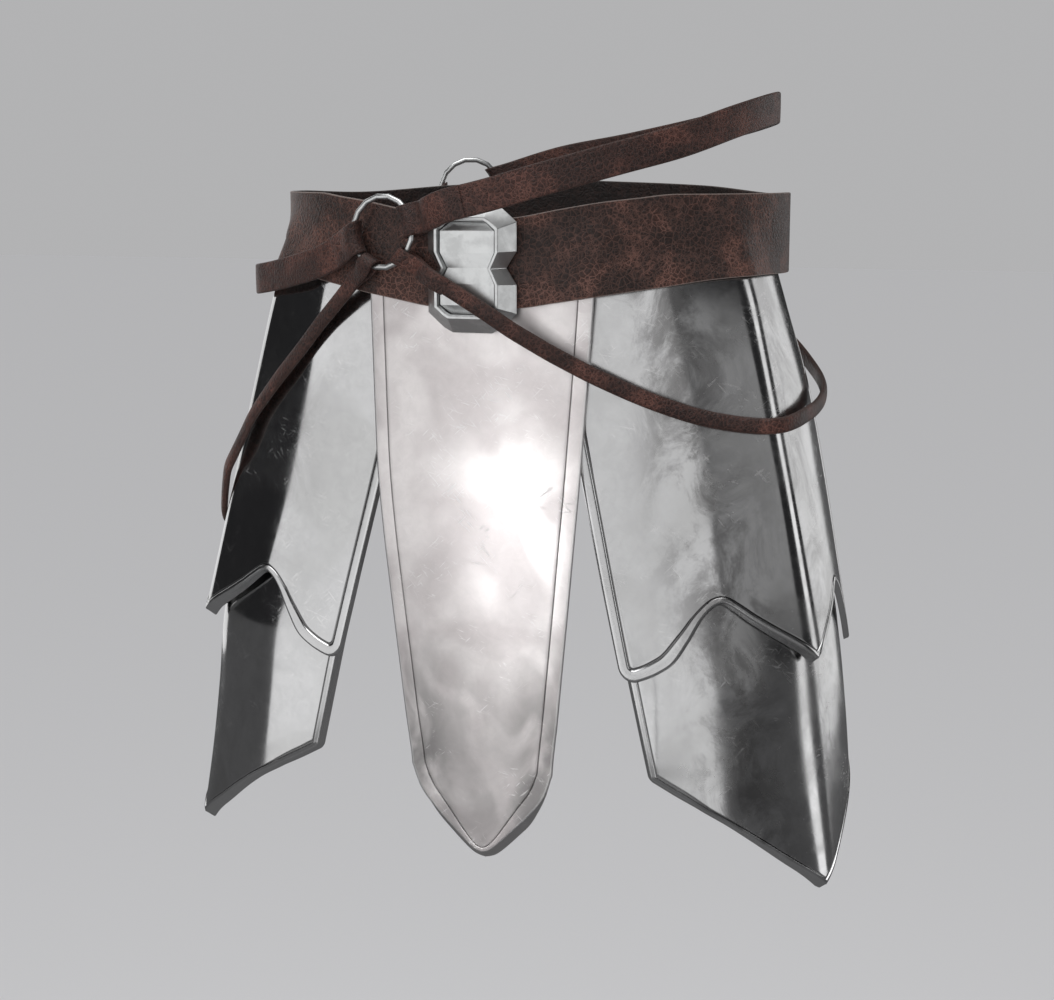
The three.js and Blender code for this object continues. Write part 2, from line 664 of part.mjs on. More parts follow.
/**
 * A strap between the two rings. Each end goes under the ring's wire, round it and back on
 * itself. start and end give the angle on the ring, the direction that the strap leaves in, in
 * degrees from the ring's right-hand side, and the length of the turned-back tail.
 */
function strapLoops({ size, route, start, end }) {
  const anchor = (place, { angle, leave }) => {
    const inPlane = (degrees) => place.along.clone().multiplyScalar(Math.cos(radians(degrees)))
      .addScaledVector(place.up, Math.sin(radians(degrees)));
    const spoke = inPlane(angle);
    return { place, away: inPlane(leave), spoke, wire: place.centre.clone().addScaledVector(spoke, RING_RADIUS) };
  };
  const first = anchor(frontRing, start);
  const last = anchor(backRing, end);
  const foot = (a, run) => a.wire.clone().addScaledVector(a.place.out, -FOLD_RADIUS).addScaledVector(a.away, run);
  const curve = new THREE.CatmullRomCurve3([
    foot(first, 0), foot(first, 7), ...route.map((p) => vec(p.x, p.y, p.z)), foot(last, 7), foot(last, 0),
  ], false, 'centripetal');
  const total = curve.getLength();
  const outward = (p) => vec(p.x / BELT_HALF_WIDTH ** 2, p.y / BELT_HALF_DEPTH ** 2, 0).normalize();

  const section = (centre, across, tangent, fold, width, thickness) => {
    const through = across.clone().cross(tangent).normalize();
    const [w, t] = [width / 2, thickness / 2];
    const c = Math.min(t * 0.6, 1.4);
    const corners = [[w, 0], [w - c, t], [0, t], [c - w, t], [-w, 0], [c - w, -t], [0, -t], [w - c, -t]];
    return corners.map(([q, h]) => {
      const point = centre.clone().addScaledVector(across, q).addScaledVector(through, h);
      if (fold) {
        const lead = RING_RADIUS * fold.spoke.dot(fold.away);
        const rest = q * q + 2 * RING_RADIUS * q * fold.spoke.dot(across);
        const sag = Math.sqrt(Math.max(0, lead * lead - rest)) - lead;
        point.addScaledVector(fold.away, sag * fold.share);
      }
      return point;
    });
  };

  const ends = [first, last].map((a, isLast) => {
    const across = a.away.clone().cross(a.place.out).normalize().multiplyScalar(isLast ? -1 : 1);
    const loops = [];
    const gap = size.foldThickness + 0.5;
    const tail = [start, end][isLast].tail;
    for (const s of [tail, tail * 0.7, tail * 0.4, tail * 0.2]) {
      const u = isLast ? 1 - s / total : s / total;
      const lift = gap + (2 * FOLD_RADIUS - gap) * (1 - smooth(s / 14));
      const normal = outward(curve.getPointAt(u)).lerp(a.place.out, 1 - smooth(s / 30)).normalize();
      const centre = curve.getPointAt(u).addScaledVector(normal, lift);
      const tangent = curve.getTangentAt(u).multiplyScalar(isLast ? 1 : -1);
      const width = tangent.clone().cross(normal).normalize();
      width.multiplyScalar(width.dot(across) < 0 ? -1 : 1);
      loops.push([centre, width, tangent, 1 - smooth(s / 16)]);
    }
    for (const degrees of [180, 150, 120, 90, 60, 30]) {
      const turn = radians(degrees);
      const centre = a.wire.clone()
        .addScaledVector(a.place.out, -FOLD_RADIUS * Math.cos(turn))
        .addScaledVector(a.away, -FOLD_RADIUS * Math.sin(turn));
      const tangent = a.place.out.clone().multiplyScalar(-Math.sin(turn))
        .addScaledVector(a.away, Math.cos(turn));
      tangent.multiplyScalar(isLast ? -1 : 1);
      loops.push([centre, across, tangent, 1]);
    }
    const made = loops.map(([centre, width, tangent, share]) => section(
      centre,
      width,
      tangent.clone().multiplyScalar(1),
      { away: a.away, spoke: a.spoke, share },
      size.foldWidth,
      size.foldThickness,
    ));
    return isLast ? made.reverse() : made;
  });

  const main = [];
  for (let k = 0; k <= STRAP_STEPS; k += 1) {
    const u = k / STRAP_STEPS;
    const fromStart = u * total;
    const fromEnd = total - fromStart;
    const near = fromStart < fromEnd ? first : last;
    const reach = Math.min(fromStart, fromEnd);
    const centre = curve.getPointAt(u);
    const normal = outward(centre).lerp(near.place.out, 1 - smooth(reach / 30)).normalize();
    const tangent = curve.getTangentAt(u);
    const across = tangent.clone().cross(normal).normalize();
    const broad = smooth((reach - 14) / 30);
    main.push(section(
      centre,
      across,
      tangent,
      { away: near.away, spoke: near.spoke, share: 1 - smooth(reach / 16) },
      size.foldWidth + (size.width - size.foldWidth) * broad,
      size.foldThickness + (size.thickness - size.foldThickness) * broad,
    ));
  }
  return [...ends[0], ...main, ...ends[1]];
}

const STRAPS = [
  {
    name: 'waist_strap_right',
    size: WAIST_STRAP,
    route: WAIST_RIGHT_ROUTE,
    start: { angle: 20, leave: 17, tail: 53 },
    end: { angle: 20, leave: 16, tail: 26 },
  },
  {
    name: 'waist_strap_left',
    size: WAIST_STRAP,
    route: WAIST_LEFT_ROUTE,
    start: { angle: 195, leave: 205, tail: 24 },
    end: { angle: 200, leave: 211, tail: 22 },
  },
  {
    name: 'thigh_strap_right',
    size: THIGH_STRAP,
    route: THIGH_RIGHT_ROUTE,
    start: { angle: -44, leave: -28, tail: 50 },
    end: { angle: -44, leave: -28, tail: 22 },
  },
  {
    name: 'thigh_strap_left',
    size: THIGH_STRAP,
    route: THIGH_LEFT_ROUTE,
    start: { angle: 243, leave: 231, tail: 22 },
    end: { angle: 250, leave: 238, tail: 20 },
  },
];
for (const strap of STRAPS) {
  addMesh(strap.name, ...skin(strapLoops(strap), false), LEATHER);
}

export default group;
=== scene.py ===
"""Waist armour: the leather belt, its straps, rings and buckle, and the five steel plates.

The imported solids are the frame. Each piece here follows its solid, with the finer form of the
real one: rolled rims and engraved lines on the plates, rounded leather edges, skived strap ends and
bevelled castings. Shapes are worked out in millimetres and end in metres.
"""

import logging
import math
from dataclasses import dataclass, field, replace
from enum import Enum
from functools import lru_cache
from typing import Sequence

import bpy
import numpy as np
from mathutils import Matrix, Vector


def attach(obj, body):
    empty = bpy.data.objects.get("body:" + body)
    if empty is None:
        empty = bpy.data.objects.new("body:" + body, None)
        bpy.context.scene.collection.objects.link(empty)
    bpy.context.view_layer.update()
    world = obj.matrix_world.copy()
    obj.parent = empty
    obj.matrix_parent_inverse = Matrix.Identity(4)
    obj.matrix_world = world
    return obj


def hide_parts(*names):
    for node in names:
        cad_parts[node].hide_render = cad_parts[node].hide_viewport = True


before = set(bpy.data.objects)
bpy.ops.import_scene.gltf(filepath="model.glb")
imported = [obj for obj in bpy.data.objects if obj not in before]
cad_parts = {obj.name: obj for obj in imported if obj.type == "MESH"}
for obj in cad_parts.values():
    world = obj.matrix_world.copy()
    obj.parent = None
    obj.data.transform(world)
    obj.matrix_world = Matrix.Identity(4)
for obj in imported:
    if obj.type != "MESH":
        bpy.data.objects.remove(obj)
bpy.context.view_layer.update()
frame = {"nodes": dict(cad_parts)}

LOG = logging.getLogger("waist_armour")
MM = 0.001

BELT_HALF_WIDTH = 184.0
BELT_HALF_DEPTH = 133.0
BELT_THICKNESS = 3.0
STEEL_THICKNESS = 2.0
RIM_HEIGHT = 0.8
TOP_OF_PLATES = -1.0
TOP_OF_FRONT_PLATE = 3.0
SHARP_FRONT_BEND = 0.12

# Distance from the edge that stands for every place inside a plate's rim.
FAR_IN = 99.0
# Heights at which the plates are measured, and those of their mean width.
MEASURED_HEIGHTS = np.linspace(-445, 12, 60)
MEAN_WIDTH_HEIGHTS = (-60.0, -150.0, -270.0, -420.0)

Border = tuple[np.ndarray, np.ndarray]
Triple = tuple[float, float, float]
Colour = Triple
Value = bpy.types.NodeSocket | float
Paint = bpy.types.NodeSocket | Colour
Inputs = dict[str | int, Value]


class Slot(Enum):
    """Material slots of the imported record."""

    STEEL = "steel_plate"
    BRIGHT = "bright_metal"
    BELT = "belt_leather"
    STRAP = "strap_leather"


class Side(Enum):
    """Which hip a plate hangs on. The value is the sign of x."""

    RIGHT = 1
    LEFT = -1


class Profile:
    """Rows of numbers under named columns, read with a smooth curve through them."""

    def __init__(self, columns: str, rows: Sequence[Sequence[float]]) -> None:
        """Sorts the rows by the first column.

        Args:
            columns: names of the columns, the first one being what is looked up.
            rows: the numbers.
        """
        data = np.array(sorted(rows), float)
        self.names = columns.split()
        self.keys = data[:, 0]
        self.data = data

    def read(self, name: str, at: np.ndarray | float) -> np.ndarray:
        """Reads a column.

        Args:
            name: the column.
            at: where to read it. Values beyond the table take its end.

        Returns:
            The column's value at each place.
        """
        values = self.data[:, self.names.index(name)]
        keys = self.keys
        at = np.clip(np.asarray(at, float), keys[0], keys[-1])
        i = np.clip(np.searchsorted(keys, at) - 1, 0, len(keys) - 2)
        ahead = np.minimum(np.arange(len(keys)) + 1, len(keys) - 1)
        behind = np.maximum(np.arange(len(keys)) - 1, 0)
        slope = (values[ahead] - values[behind]) / (keys[ahead] - keys[behind])
        span = keys[i + 1] - keys[i]
        t = (at - keys[i]) / span
        chord = values[i + 1] - values[i]
        cap = 3 * np.abs(chord)
        s0 = np.sign(slope[i]) * np.minimum(np.abs(slope[i] * span), cap)
        s1 = np.sign(slope[i + 1]) * np.minimum(np.abs(slope[i + 1] * span), cap)
        curve = t * s0 + t**2 * (3 * chord - 2 * s0 - s1) + t**3 * (s0 + s1 - 2 * chord)
        return values[i] + curve


def smooth(value: np.ndarray | float) -> np.ndarray:
    """Eases a value from 0 to 1."""
    share = np.clip(value, 0.0, 1.0)
    return share * share * (3 - 2 * share)


def fading(length: float, reach: float) -> float:
    """Eases from 1 at the start to 0 where the length comes to the reach."""
    return 1 - float(smooth(length / reach))


def unit(vectors: np.ndarray) -> np.ndarray:
    """Vectors scaled to length 1."""
    return vectors / np.maximum(np.linalg.norm(vectors, axis=-1, keepdims=True), 1e-9)


def put_in_scene(name: str, data: bpy.types.ID) -> bpy.types.Object:
    """Makes an object of a mesh, a lamp or a camera, and links it to the scene."""
    thing = bpy.data.objects.new(name, data)
    bpy.context.scene.collection.objects.link(thing)
    return thing


def new_piece(
    name: str,
    points: np.ndarray,
    faces: list[tuple[int, ...]],
    sharp_above: float,
    marks: dict[str, np.ndarray] | None = None,
) -> bpy.types.Object:
    """Makes a mesh object whose faces point out.

    Args:
        name: the piece's name.
        points: corner points in millimetres.
        faces: corner numbers of each face.
        sharp_above: edges that turn more than this, in degrees, stay sharp.
        marks: numbers kept on each corner for the materials.

    Returns:
        The new object.
    """
    mesh = bpy.data.meshes.new(name)
    mesh.from_pydata((points * MM).tolist(), [], faces)
    mesh.update()
    first = points[[f[0] for f in faces]]
    volume = 0.0
    for k in range(1, max(len(f) for f in faces) - 1):
        second = points[[f[min(k, len(f) - 2)] for f in faces]]
        third = points[[f[min(k + 1, len(f) - 1)] for f in faces]]
        inside = np.array([k < len(f) - 1 for f in faces])
        volume += float((np.einsum("ij,ij->i", first, np.cross(second, third)) * inside).sum())
    if volume < 0:
        mesh.flip_normals()
    for mark, values in (marks or {}).items():
        attribute = mesh.attributes.new(mark, "FLOAT", "POINT")
        attribute.data.foreach_set("value", np.asarray(values, np.float32))
    mesh.shade_smooth()
    mesh.set_sharp_from_angle(angle=math.radians(sharp_above))
    return put_in_scene(name, mesh)


def loop_faces(count: int, size: int, closed: bool) -> list[tuple[int, ...]]:
    """Faces of a skin through loops of equal length.

    Args:
        count: how many loops.
        size: corners in each loop.
        closed: whether the last loop joins the first. Otherwise the ends get flat caps.

    Returns:
        Corner numbers of each face.
    """
    faces: list[tuple[int, ...]] = []
    for i in range(count if closed else count - 1):
        a, b = i * size, ((i + 1) % count) * size
        for j in range(size):
            k = (j + 1) % size
            faces.append((a + j, b + j, b + k, a + k))
    if not closed:
        faces.append(tuple(range(size)))
        faces.append(tuple((count - 1) * size + j for j in range(size))[::-1])
    return faces


def bevelled(piece: bpy.types.Object, width: float, segments: int, angle: float) -> None:
    """Rounds the sharp edges of a casting.

    Args:
        piece: the casting.
        width: width of the rounding in millimetres.
        segments: facets in it.
        angle: edges that turn more than this, in degrees, are rounded.
    """
    bevel = piece.modifiers.new("rounded_edges", "BEVEL")
    bevel.width = width * MM
    bevel.segments = segments
    bevel.limit_method = "ANGLE"
    bevel.angle_limit = math.radians(angle)
    bevel.harden_normals = True
    bevel.miter_outer = "MITER_ARC"


def border_of(columns: int, rows: int) -> Border:
    """Walks once round the edge of a grid, starting along its upper edge.

    Args:
        columns: columns of the grid.
        rows: rows of the grid.

    Returns:
        The column and the row of each corner on the way.
    """
    right, top = columns - 1, rows - 1
    at_column = [*range(columns), *[right] * top, *range(right)[::-1], *[0] * (top - 1)]
    at_row = [*[top] * columns, *range(top)[::-1], *[0] * right, *range(1, top)]
    return np.array(at_column), np.array(at_row)


def sheet_faces(shape: tuple[int, int], border: Border, rings: int) -> list[tuple[int, ...]]:
    """Faces of a sheet: its outer skin, its inner skin, and strips round its edge between them.

    Args:
        shape: columns and rows of both skins.
        border: column and row of each corner round the edge.
        rings: how many rings of corners lie between the skins.

    Returns:
        Corner numbers of each face.
    """
    corners, around = shape[0] * shape[1], len(border[0])
    grid = np.arange(corners).reshape(shape)
    skin = np.stack([grid[:-1, :-1], grid[1:, :-1], grid[1:, 1:], grid[:-1, 1:]], axis=-1).reshape(-1, 4)
    chain = [grid[border]]
    chain += [2 * corners + k * around + np.arange(around) for k in range(rings)]
    chain.append(grid[border] + corners)
    strips = [
        np.stack([here, np.roll(here, -1), np.roll(there, -1), there], axis=-1)
        for here, there in zip(chain[:-1], chain[1:])
    ]
    return [tuple(face) for face in np.concatenate([skin, skin[:, ::-1] + corners, *strips]).tolist()]


# Shapes of the plates


# Each row makes a ring round the turned-in edge: shares of the flange's spread and depth, and
# millimetres added outwards and inwards.
TURNED_EDGE = (
    (0.0, 0.0, 0.32, 0.25), (0.1, 0.16, 0.3, 0.2), (0.96, 0.92, 0.0, 0.0), (1.0, 1.0, -0.35, 0.1),
    (1.0, 1.0, -1.3, 0.1), (1.0, 1.0, -1.7, -0.3),
)


@dataclass
class PlateShape:
    """What all the steel plates share: an outer face, a lower edge and a rolled rim.

    A place on a plate is given by how far across it lies, from -1 to 1, and by its height. A
    flange is the depth of the turned-in edge, and how far that edge spreads beyond the face.
    rim_scale widens the rim along the sides and along the lower edge. The change between them
    starts at scale_from and takes scale_span, as places across.
    """

    top: float
    corner_radius: float
    rim: Profile
    ridge_flange: tuple[float, float]
    side_flange: tuple[float, float]
    flange_reach: float
    top_flange: tuple[float, float] = field(default=(2.6, 0.1), kw_only=True)
    rim_scale: tuple[float, float] = field(default=(1.0, 1.0), kw_only=True)
    scale_from: float = field(default=0.9, kw_only=True)
    scale_span: float = field(default=0.3, kw_only=True)
    rows: int = field(default=72, kw_only=True)

    def surface(self, across: np.ndarray, z: np.ndarray) -> np.ndarray:
        """Points of the outer face at places across and heights."""
        raise NotImplementedError

    def lower_edge(self, across: np.ndarray) -> np.ndarray:
        """Height of the lower edge at places across."""
        raise NotImplementedError

    def swell(self, across: np.ndarray, z: np.ndarray) -> np.ndarray:
        """How far the face stands out beyond its plain form."""
        return np.zeros_like(across)

    def tarnish(self, across: np.ndarray, z: np.ndarray) -> np.ndarray:
        """Where dark reflection is painted on the face, from 0 to 1."""
        return np.zeros_like(across)

    def columns(self) -> np.ndarray:
        """Places across the plate between its rims, from -1 to 1."""
        return np.linspace(-1, 1, 61)

    def flange_share(self, across: np.ndarray) -> np.ndarray:
        """How much of the ridge's flange a place has, from 0 to 1."""
        return smooth(1 - np.abs(across) / self.flange_reach)

    def half_widths(self, z: np.ndarray) -> tuple[np.ndarray, np.ndarray]:
        """Lengths of both halves of the face at some heights, measured on the steel.

        Args:
            z: the heights.

        Returns:
            The length from the middle to the edge at -1, and to the edge at 1.
        """
        shares = np.linspace(0, 1, 41)[:, None]
        lengths = []
        for sign in (-1, 1):
            points = self.surface(sign * shares, MEASURED_HEIGHTS[None, :])
            table = np.linalg.norm(np.diff(points, axis=0), axis=-1).sum(axis=0)
            lengths.append(np.interp(z, MEASURED_HEIGHTS, table))
        return lengths[0], lengths[1]

    def inset(self, place: np.ndarray, depth: np.ndarray, width: float) -> np.ndarray:
        """Height of the line that runs at some depth inside the lower edge.

        Args:
            place: places across.
            depth: distances from the lower edge, in millimetres.
            width: length of half the plate, which turns places into millimetres.

        Returns:
            The heights.
        """
        samples = np.linspace(-1, 1, 1201)
        edge = self.lower_edge(samples)
        flat_place, flat_depth = place.ravel(), depth.ravel()
        apart = (flat_place[:, None] - samples[None, :]) * width
        rise = flat_depth[:, None] ** 2 - apart**2
        reach = np.where(rise >= 0, np.sqrt(np.maximum(rise, 0)), -np.inf)
        height = (edge[None, :] + reach).max(axis=1)
        own = self.lower_edge(flat_place) + flat_depth
        return np.maximum(height, own).reshape(place.shape)

    def rounded_corner(self, a: np.ndarray, b: np.ndarray) -> tuple[np.ndarray, np.ndarray]:
        """Bends the lines of the grid round the lower corners.

        Args:
            a: distances from the side edge.
            b: distances from the lower edge.

        Returns:
            The same two distances with the corner turned into an arc.
        """
        r = self.corner_radius
        p = np.clip(r - a, 0, None)
        q = np.clip(r - b, 0, None)
        inside = (p > 0) & (q > 0)
        length = np.hypot(p, q)
        scale = np.where(inside, np.maximum(p, q) / np.maximum(length, 1e-9), 1)
        return np.where(inside, r - p * scale, a), np.where(inside, r - q * scale, b)

    def flange(self, across: np.ndarray, is_top: np.ndarray) -> tuple[np.ndarray, np.ndarray]:
        """Size of the turned-in edge.

        Args:
            across: places of the edge's corners.
            is_top: whether they are on the upper edge.

        Returns:
            How deep it goes, and how far it spreads beyond the outer face.
        """
        share = self.flange_share(across)
        depth, spread = (
            np.where(is_top, top, side + (ridge - side) * share)
            for top, side, ridge in zip(self.top_flange, self.side_flange, self.ridge_flange)
        )
        return depth, spread

    def layout(self) -> tuple[np.ndarray, np.ndarray, np.ndarray]:
        """Lays out the corners of the outer face, in columns from the left and rows from below.

        Returns:
            Places across, heights, and distances from the nearest side or lower edge.
        """
        steps, inner = self.rim.keys, self.columns()
        rim_count = len(steps)
        n = len(inner) + 2 * (rim_count - 1)
        row_share = np.linspace(0, 1, self.rows + 1)[1:] ** 0.9
        m = rim_count + len(row_share)
        nearest = np.minimum(np.arange(n), np.arange(n)[::-1])
        from_side = np.where(nearest < rim_count, steps[np.minimum(nearest, rim_count - 1)], FAR_IN)
        from_low = np.concatenate([steps, np.full(len(row_share), FAR_IN)])
        a, b = np.broadcast_arrays(from_side[:, None], from_low[None, :])
        sign = np.where(np.arange(n) < n / 2, -1, 1)[:, None]
        in_rim = (from_side < steps[-1])[:, None]
        inner_share = np.zeros((n, 1))
        inner_share[rim_count - 1 : n - rim_count + 1, 0] = inner
        along_low = smooth((self.scale_from - np.abs(inner_share)) / self.scale_span) * ~in_rim
        low_scale = self.rim_scale[0] + (self.rim_scale[1] - self.rim_scale[0]) * along_low
        side_steps = self.rim_scale[0] * steps[-1]
        a_round, b_round = self.rounded_corner(a * self.rim_scale[0], b * low_scale)
        mean_width = float(np.mean(self.half_widths(np.array([self.top, *MEAN_WIDTH_HEIGHTS]))))

        def place(heights: np.ndarray) -> np.ndarray:
            """Places across for the grid's distances from the side, at some heights."""
            left, right = (half.reshape(n, m) for half in self.half_widths(heights.ravel()))
            width = np.where(sign < 0, left, right)
            return np.where(in_rim, sign * (1 - a_round / width), inner_share * (1 - side_steps / width))

        lowest = float(self.lower_edge(np.array([0.5]))[0])
        z = np.broadcast_to(np.linspace(lowest, self.top, m), (n, m))
        for _ in range(2):
            low = self.inset(place(z)[:, :rim_count], b_round[:, :rim_count], mean_width)
            start = low[:, -1:]
            z = np.concatenate([low, start + (self.top - start) * row_share[None, :]], axis=1)
        return place(z), z, np.minimum(a, b)

    def normals(self, across: np.ndarray, z: np.ndarray, base: np.ndarray) -> np.ndarray:
        """Directions out of the face.

        Args:
            across: places across.
            z: heights.
            base: points of the face there.

        Returns:
            A direction of length 1 for each of them.
        """
        beside, above = 0.006, 1.5
        ahead, behind = np.minimum(across + beside, 1), np.maximum(across - beside, -1)
        along = self.surface(ahead, z) - self.surface(behind, z)
        up = self.surface(across, z + above) - self.surface(across, z - above)
        normal = unit(np.cross(along, up))
        outward = np.einsum("ijk,ijk->ij", normal[..., :2], base[..., :2])
        return np.where(outward[..., None] < 0, -normal, normal)

    def turned_edge(
        self, base: np.ndarray, normal: np.ndarray, across: np.ndarray, border: Border
    ) -> tuple[list[np.ndarray], np.ndarray]:
        """Turns the edge of the sheet in.

        Args:
            base: points of the face.
            normal: directions out of it.
            across: places across.
            border: column and row of each corner round the edge.

        Returns:
            Rings of points round the edge, and the direction away from the plate at each corner.
        """
        column, row = border
        n, m = across.shape
        edge_point, edge_normal = base[border], normal[border]
        along = np.roll(edge_point, -1, axis=0) - np.roll(edge_point, 1, axis=0)
        outside = unit(np.cross(edge_normal, along))
        inner_point = base[np.clip(column, 1, n - 2), np.clip(row, 1, m - 2)]
        wrong = np.einsum("ij,ij->i", outside, edge_point - inner_point) < 0
        outside = np.where(wrong[:, None], -outside, outside)
        depth, spread = self.flange(across[border], row == m - 1)
        rings = [
            edge_point
            + (spread_share * spread + out)[:, None] * outside
            - (depth_share * depth + inward)[:, None] * edge_normal
            for spread_share, depth_share, out, inward in TURNED_EDGE
        ]
        return rings, outside

    def build(self, name: str, side: Side) -> bpy.types.Object:
        """Makes the plate.

        Args:
            name: the piece's name.
            side: the hip it hangs on. The left one is the mirror image of the right one.

        Returns:
            The piece.
        """
        lip, inner_skin_distance, groove_shade = 1.2, 40.0, 2.4
        across, z, distance = self.layout()
        border = border_of(*across.shape)
        base = self.surface(across, z)
        normal = self.normals(across, z, base)
        rim_height = self.rim.read("height", distance)
        outer = base + normal * (rim_height + self.swell(across, z))[..., None]
        rings, outside = self.turned_edge(base, normal, across, border)
        inner = base - normal * STEEL_THICKNESS
        inner[border] -= outside * lip
        points = np.concatenate([outer.reshape(-1, 3), inner.reshape(-1, 3), *rings])
        points[:, 0] *= side.value

        def skins(outside_value: np.ndarray, inside_value: float = 0.0) -> np.ndarray:
            """Numbers for the outer skin, one for the whole inner skin, and 0 on the turned edge."""
            values = np.zeros(len(points))
            values[: across.size] = np.ravel(outside_value)
            values[across.size : 2 * across.size] = inside_value
            return values

        marks = {
            "edge_distance": skins(distance, inner_skin_distance),
            "back": skins(np.zeros(across.size), 1.0),
            # How deep the engraved line lies, which the finish paints as shade.
            "groove": skins(np.clip(-rim_height * groove_shade, 0, 1)),
            # Where the finish paints dark reflection into the steel's colour.
            "tarnish": skins(self.tarnish(across, z)),
        }
        faces = sheet_faces(across.shape, border, len(rings))
        return new_piece(name, points, faces, sharp_above=38, marks=marks)


def bent_line(
    start: np.ndarray, corner: np.ndarray, end: np.ndarray, t: np.ndarray, at: float, bend: float
) -> np.ndarray:
    """Plan positions on a line from start over a rounded corner to the end.

    Args:
        start: where the line starts.
        corner: its corner.
        end: where it ends.
        t: shares of the way.
        at: share at which the corner lies.
        bend: share of the way that the rounding takes on each side.

    Returns:
        The positions.
    """
    t = t[..., None]
    before = start + (corner - start) * t / at
    after = corner + (end - corner) * (t - at) / (1 - at)
    s = (t - at + bend) / (2 * bend)
    a = start + (corner - start) * (at - bend) / at
    b = corner + (end - corner) * bend / (1 - at)
    p, q = a + (corner - a) * s, corner + (b - corner) * s
    turned = p + (q - p) * s
    return np.where(t < at - bend, before, np.where(t > at + bend, after, turned))


@dataclass
class HipPlate(PlateShape):
    """A ridged plate on the hip: -1 is its front edge, 0 its ridge and 1 its back edge.

    ridge_width is how far the rounding of the ridge reaches to each side. The reaches are those of the
    painted dark reflection beside the crease and behind the ridge.
    """

    table: Profile = None
    edge: Profile = None
    crease_at: float = 0.42
    front_bend: float = SHARP_FRONT_BEND
    side_bend: float = 0.3
    ridge_width: float = 0.07
    facet: Profile | None = None
    facet_fade: float = 0.45
    crease_reach: float = 0.42
    behind_ridge: float = 0.15
    ridge_reach: float = 0.3

    def plan(self, across: np.ndarray, z: np.ndarray) -> np.ndarray:
        """Plan positions of the outer face with a knife-sharp ridge.

        Args:
            across: places across.
            z: heights.

        Returns:
            The positions, seen from above.
        """
        front, crease, ridge, bend, back = (
            np.stack([self.table.read(f"{name}_x", z), self.table.read(f"{name}_y", z)], -1)
            for name in ("front", "crease", "ridge", "bend", "back")
        )
        ahead = bent_line(ridge, crease, front, -across, self.crease_at, self.front_bend)
        behind = bent_line(ridge, bend, back, across, self.crease_at, self.side_bend)
        return np.where((across < 0)[..., None], ahead, behind)

    def surface(self, across: np.ndarray, z: np.ndarray) -> np.ndarray:
        """Points of the outer face, with the ridge hammered round.

        Args:
            across: places across.
            z: heights.

        Returns:
            The points.
        """
        across, z = np.broadcast_arrays(np.asarray(across, float), np.asarray(z, float))
        plan = self.plan(across, z)
        w = self.ridge_width
        if w > 0:
            one, two = self.plan(np.full_like(across, -w), z), self.plan(np.full_like(across, w), z)
            corner = self.plan(np.zeros_like(across), z)
            s = np.clip((across + w) / (2 * w), 0, 1)[..., None]
            p, q = one + (corner - one) * s, corner + (two - corner) * s
            plan = np.where((np.abs(across) < w)[..., None], p + (q - p) * s, plan)
        return np.concatenate([plan, z[..., None]], axis=-1)

    def lower_edge(self, across: np.ndarray) -> np.ndarray:
        """Height of the lower edge, the same on both sides of the ridge."""
        return self.edge.read("z", np.abs(across))

    def swell(self, across: np.ndarray, z: np.ndarray) -> np.ndarray:
        """Lift of the low fold that sets off a tapering facet along the front edge.

        Args:
            across: places across.
            z: heights.

        Returns:
            How far the face stands out.
        """
        if self.facet is None:
            return np.zeros_like(across)
        width = self.facet.read("width", z)
        inward = (across + 1) / np.maximum(width, 1e-3)
        beyond = 1 - (across + 1 - width) / self.facet_fade
        lift = np.where(inward < 1, inward, np.clip(beyond, 0, 1))
        return self.facet.read("lift", z) * lift

    def tarnish(self, across: np.ndarray, z: np.ndarray) -> np.ndarray:
        """Dark reflection is painted along the crease, and less of it behind the ridge."""
        at_crease = smooth(1 - np.abs(across + self.crease_at) / self.crease_reach)
        behind_ridge = smooth(1 - np.abs(across - self.behind_ridge) / self.ridge_reach)
        return np.maximum(at_crease, 0.5 * behind_ridge)

    def columns(self) -> np.ndarray:
        """Places across, closer together at the ridge and the crease."""
        w = self.ridge_width
        half = np.concatenate([
            w * np.array([0.12, 0.25, 0.38, 0.52, 0.66, 0.8, 0.92, 1.05, 1.2]),
            np.linspace(0.1, 1, 42),
        ])
        return np.concatenate([-half[::-1], [0], half])


@dataclass
class FrontPlate(PlateShape):
    """The long pointed plate in the middle, bowed from side to side."""

    table: Profile = None
    tip: Profile = None
    tip_half: float = 51.3
    # Painted dark reflection starts at this height and reaches full strength over the span below it.
    painted_reflection_from: float = -230.0
    painted_reflection_span: float = 130.0

    def surface(self, across: np.ndarray, z: np.ndarray) -> np.ndarray:
        """Points of the outer face."""
        across, z = np.broadcast_arrays(np.asarray(across, float), np.asarray(z, float))
        half, edge, middle = (self.table.read(name, z) for name in ("half", "edge", "middle"))
        return np.stack([across * half, middle + (edge - middle) * across**2, z], axis=-1)

    def lower_edge(self, across: np.ndarray) -> np.ndarray:
        """Height of the pointed lower edge."""
        return self.tip.read("z", np.abs(across) * self.tip_half)

    def tarnish(self, across: np.ndarray, z: np.ndarray) -> np.ndarray:
        """Dark reflection is painted in the lower part and along its sides."""
        low = smooth((self.painted_reflection_from - z) / self.painted_reflection_span)
        return low * (0.45 + 0.55 * smooth((np.abs(across) - 0.25) / 0.5))

    def inset(self, place: np.ndarray, depth: np.ndarray, width: float) -> np.ndarray:
        """Height inside the lower edge, measured across its own narrower width."""
        return super().inset(place, depth, self.tip_half)

    def flange_share(self, across: np.ndarray) -> np.ndarray:
        """The turned-in edge is deepest at the tip and shallow along the sides."""
        return smooth((1 - np.abs(across)) / self.flange_reach)


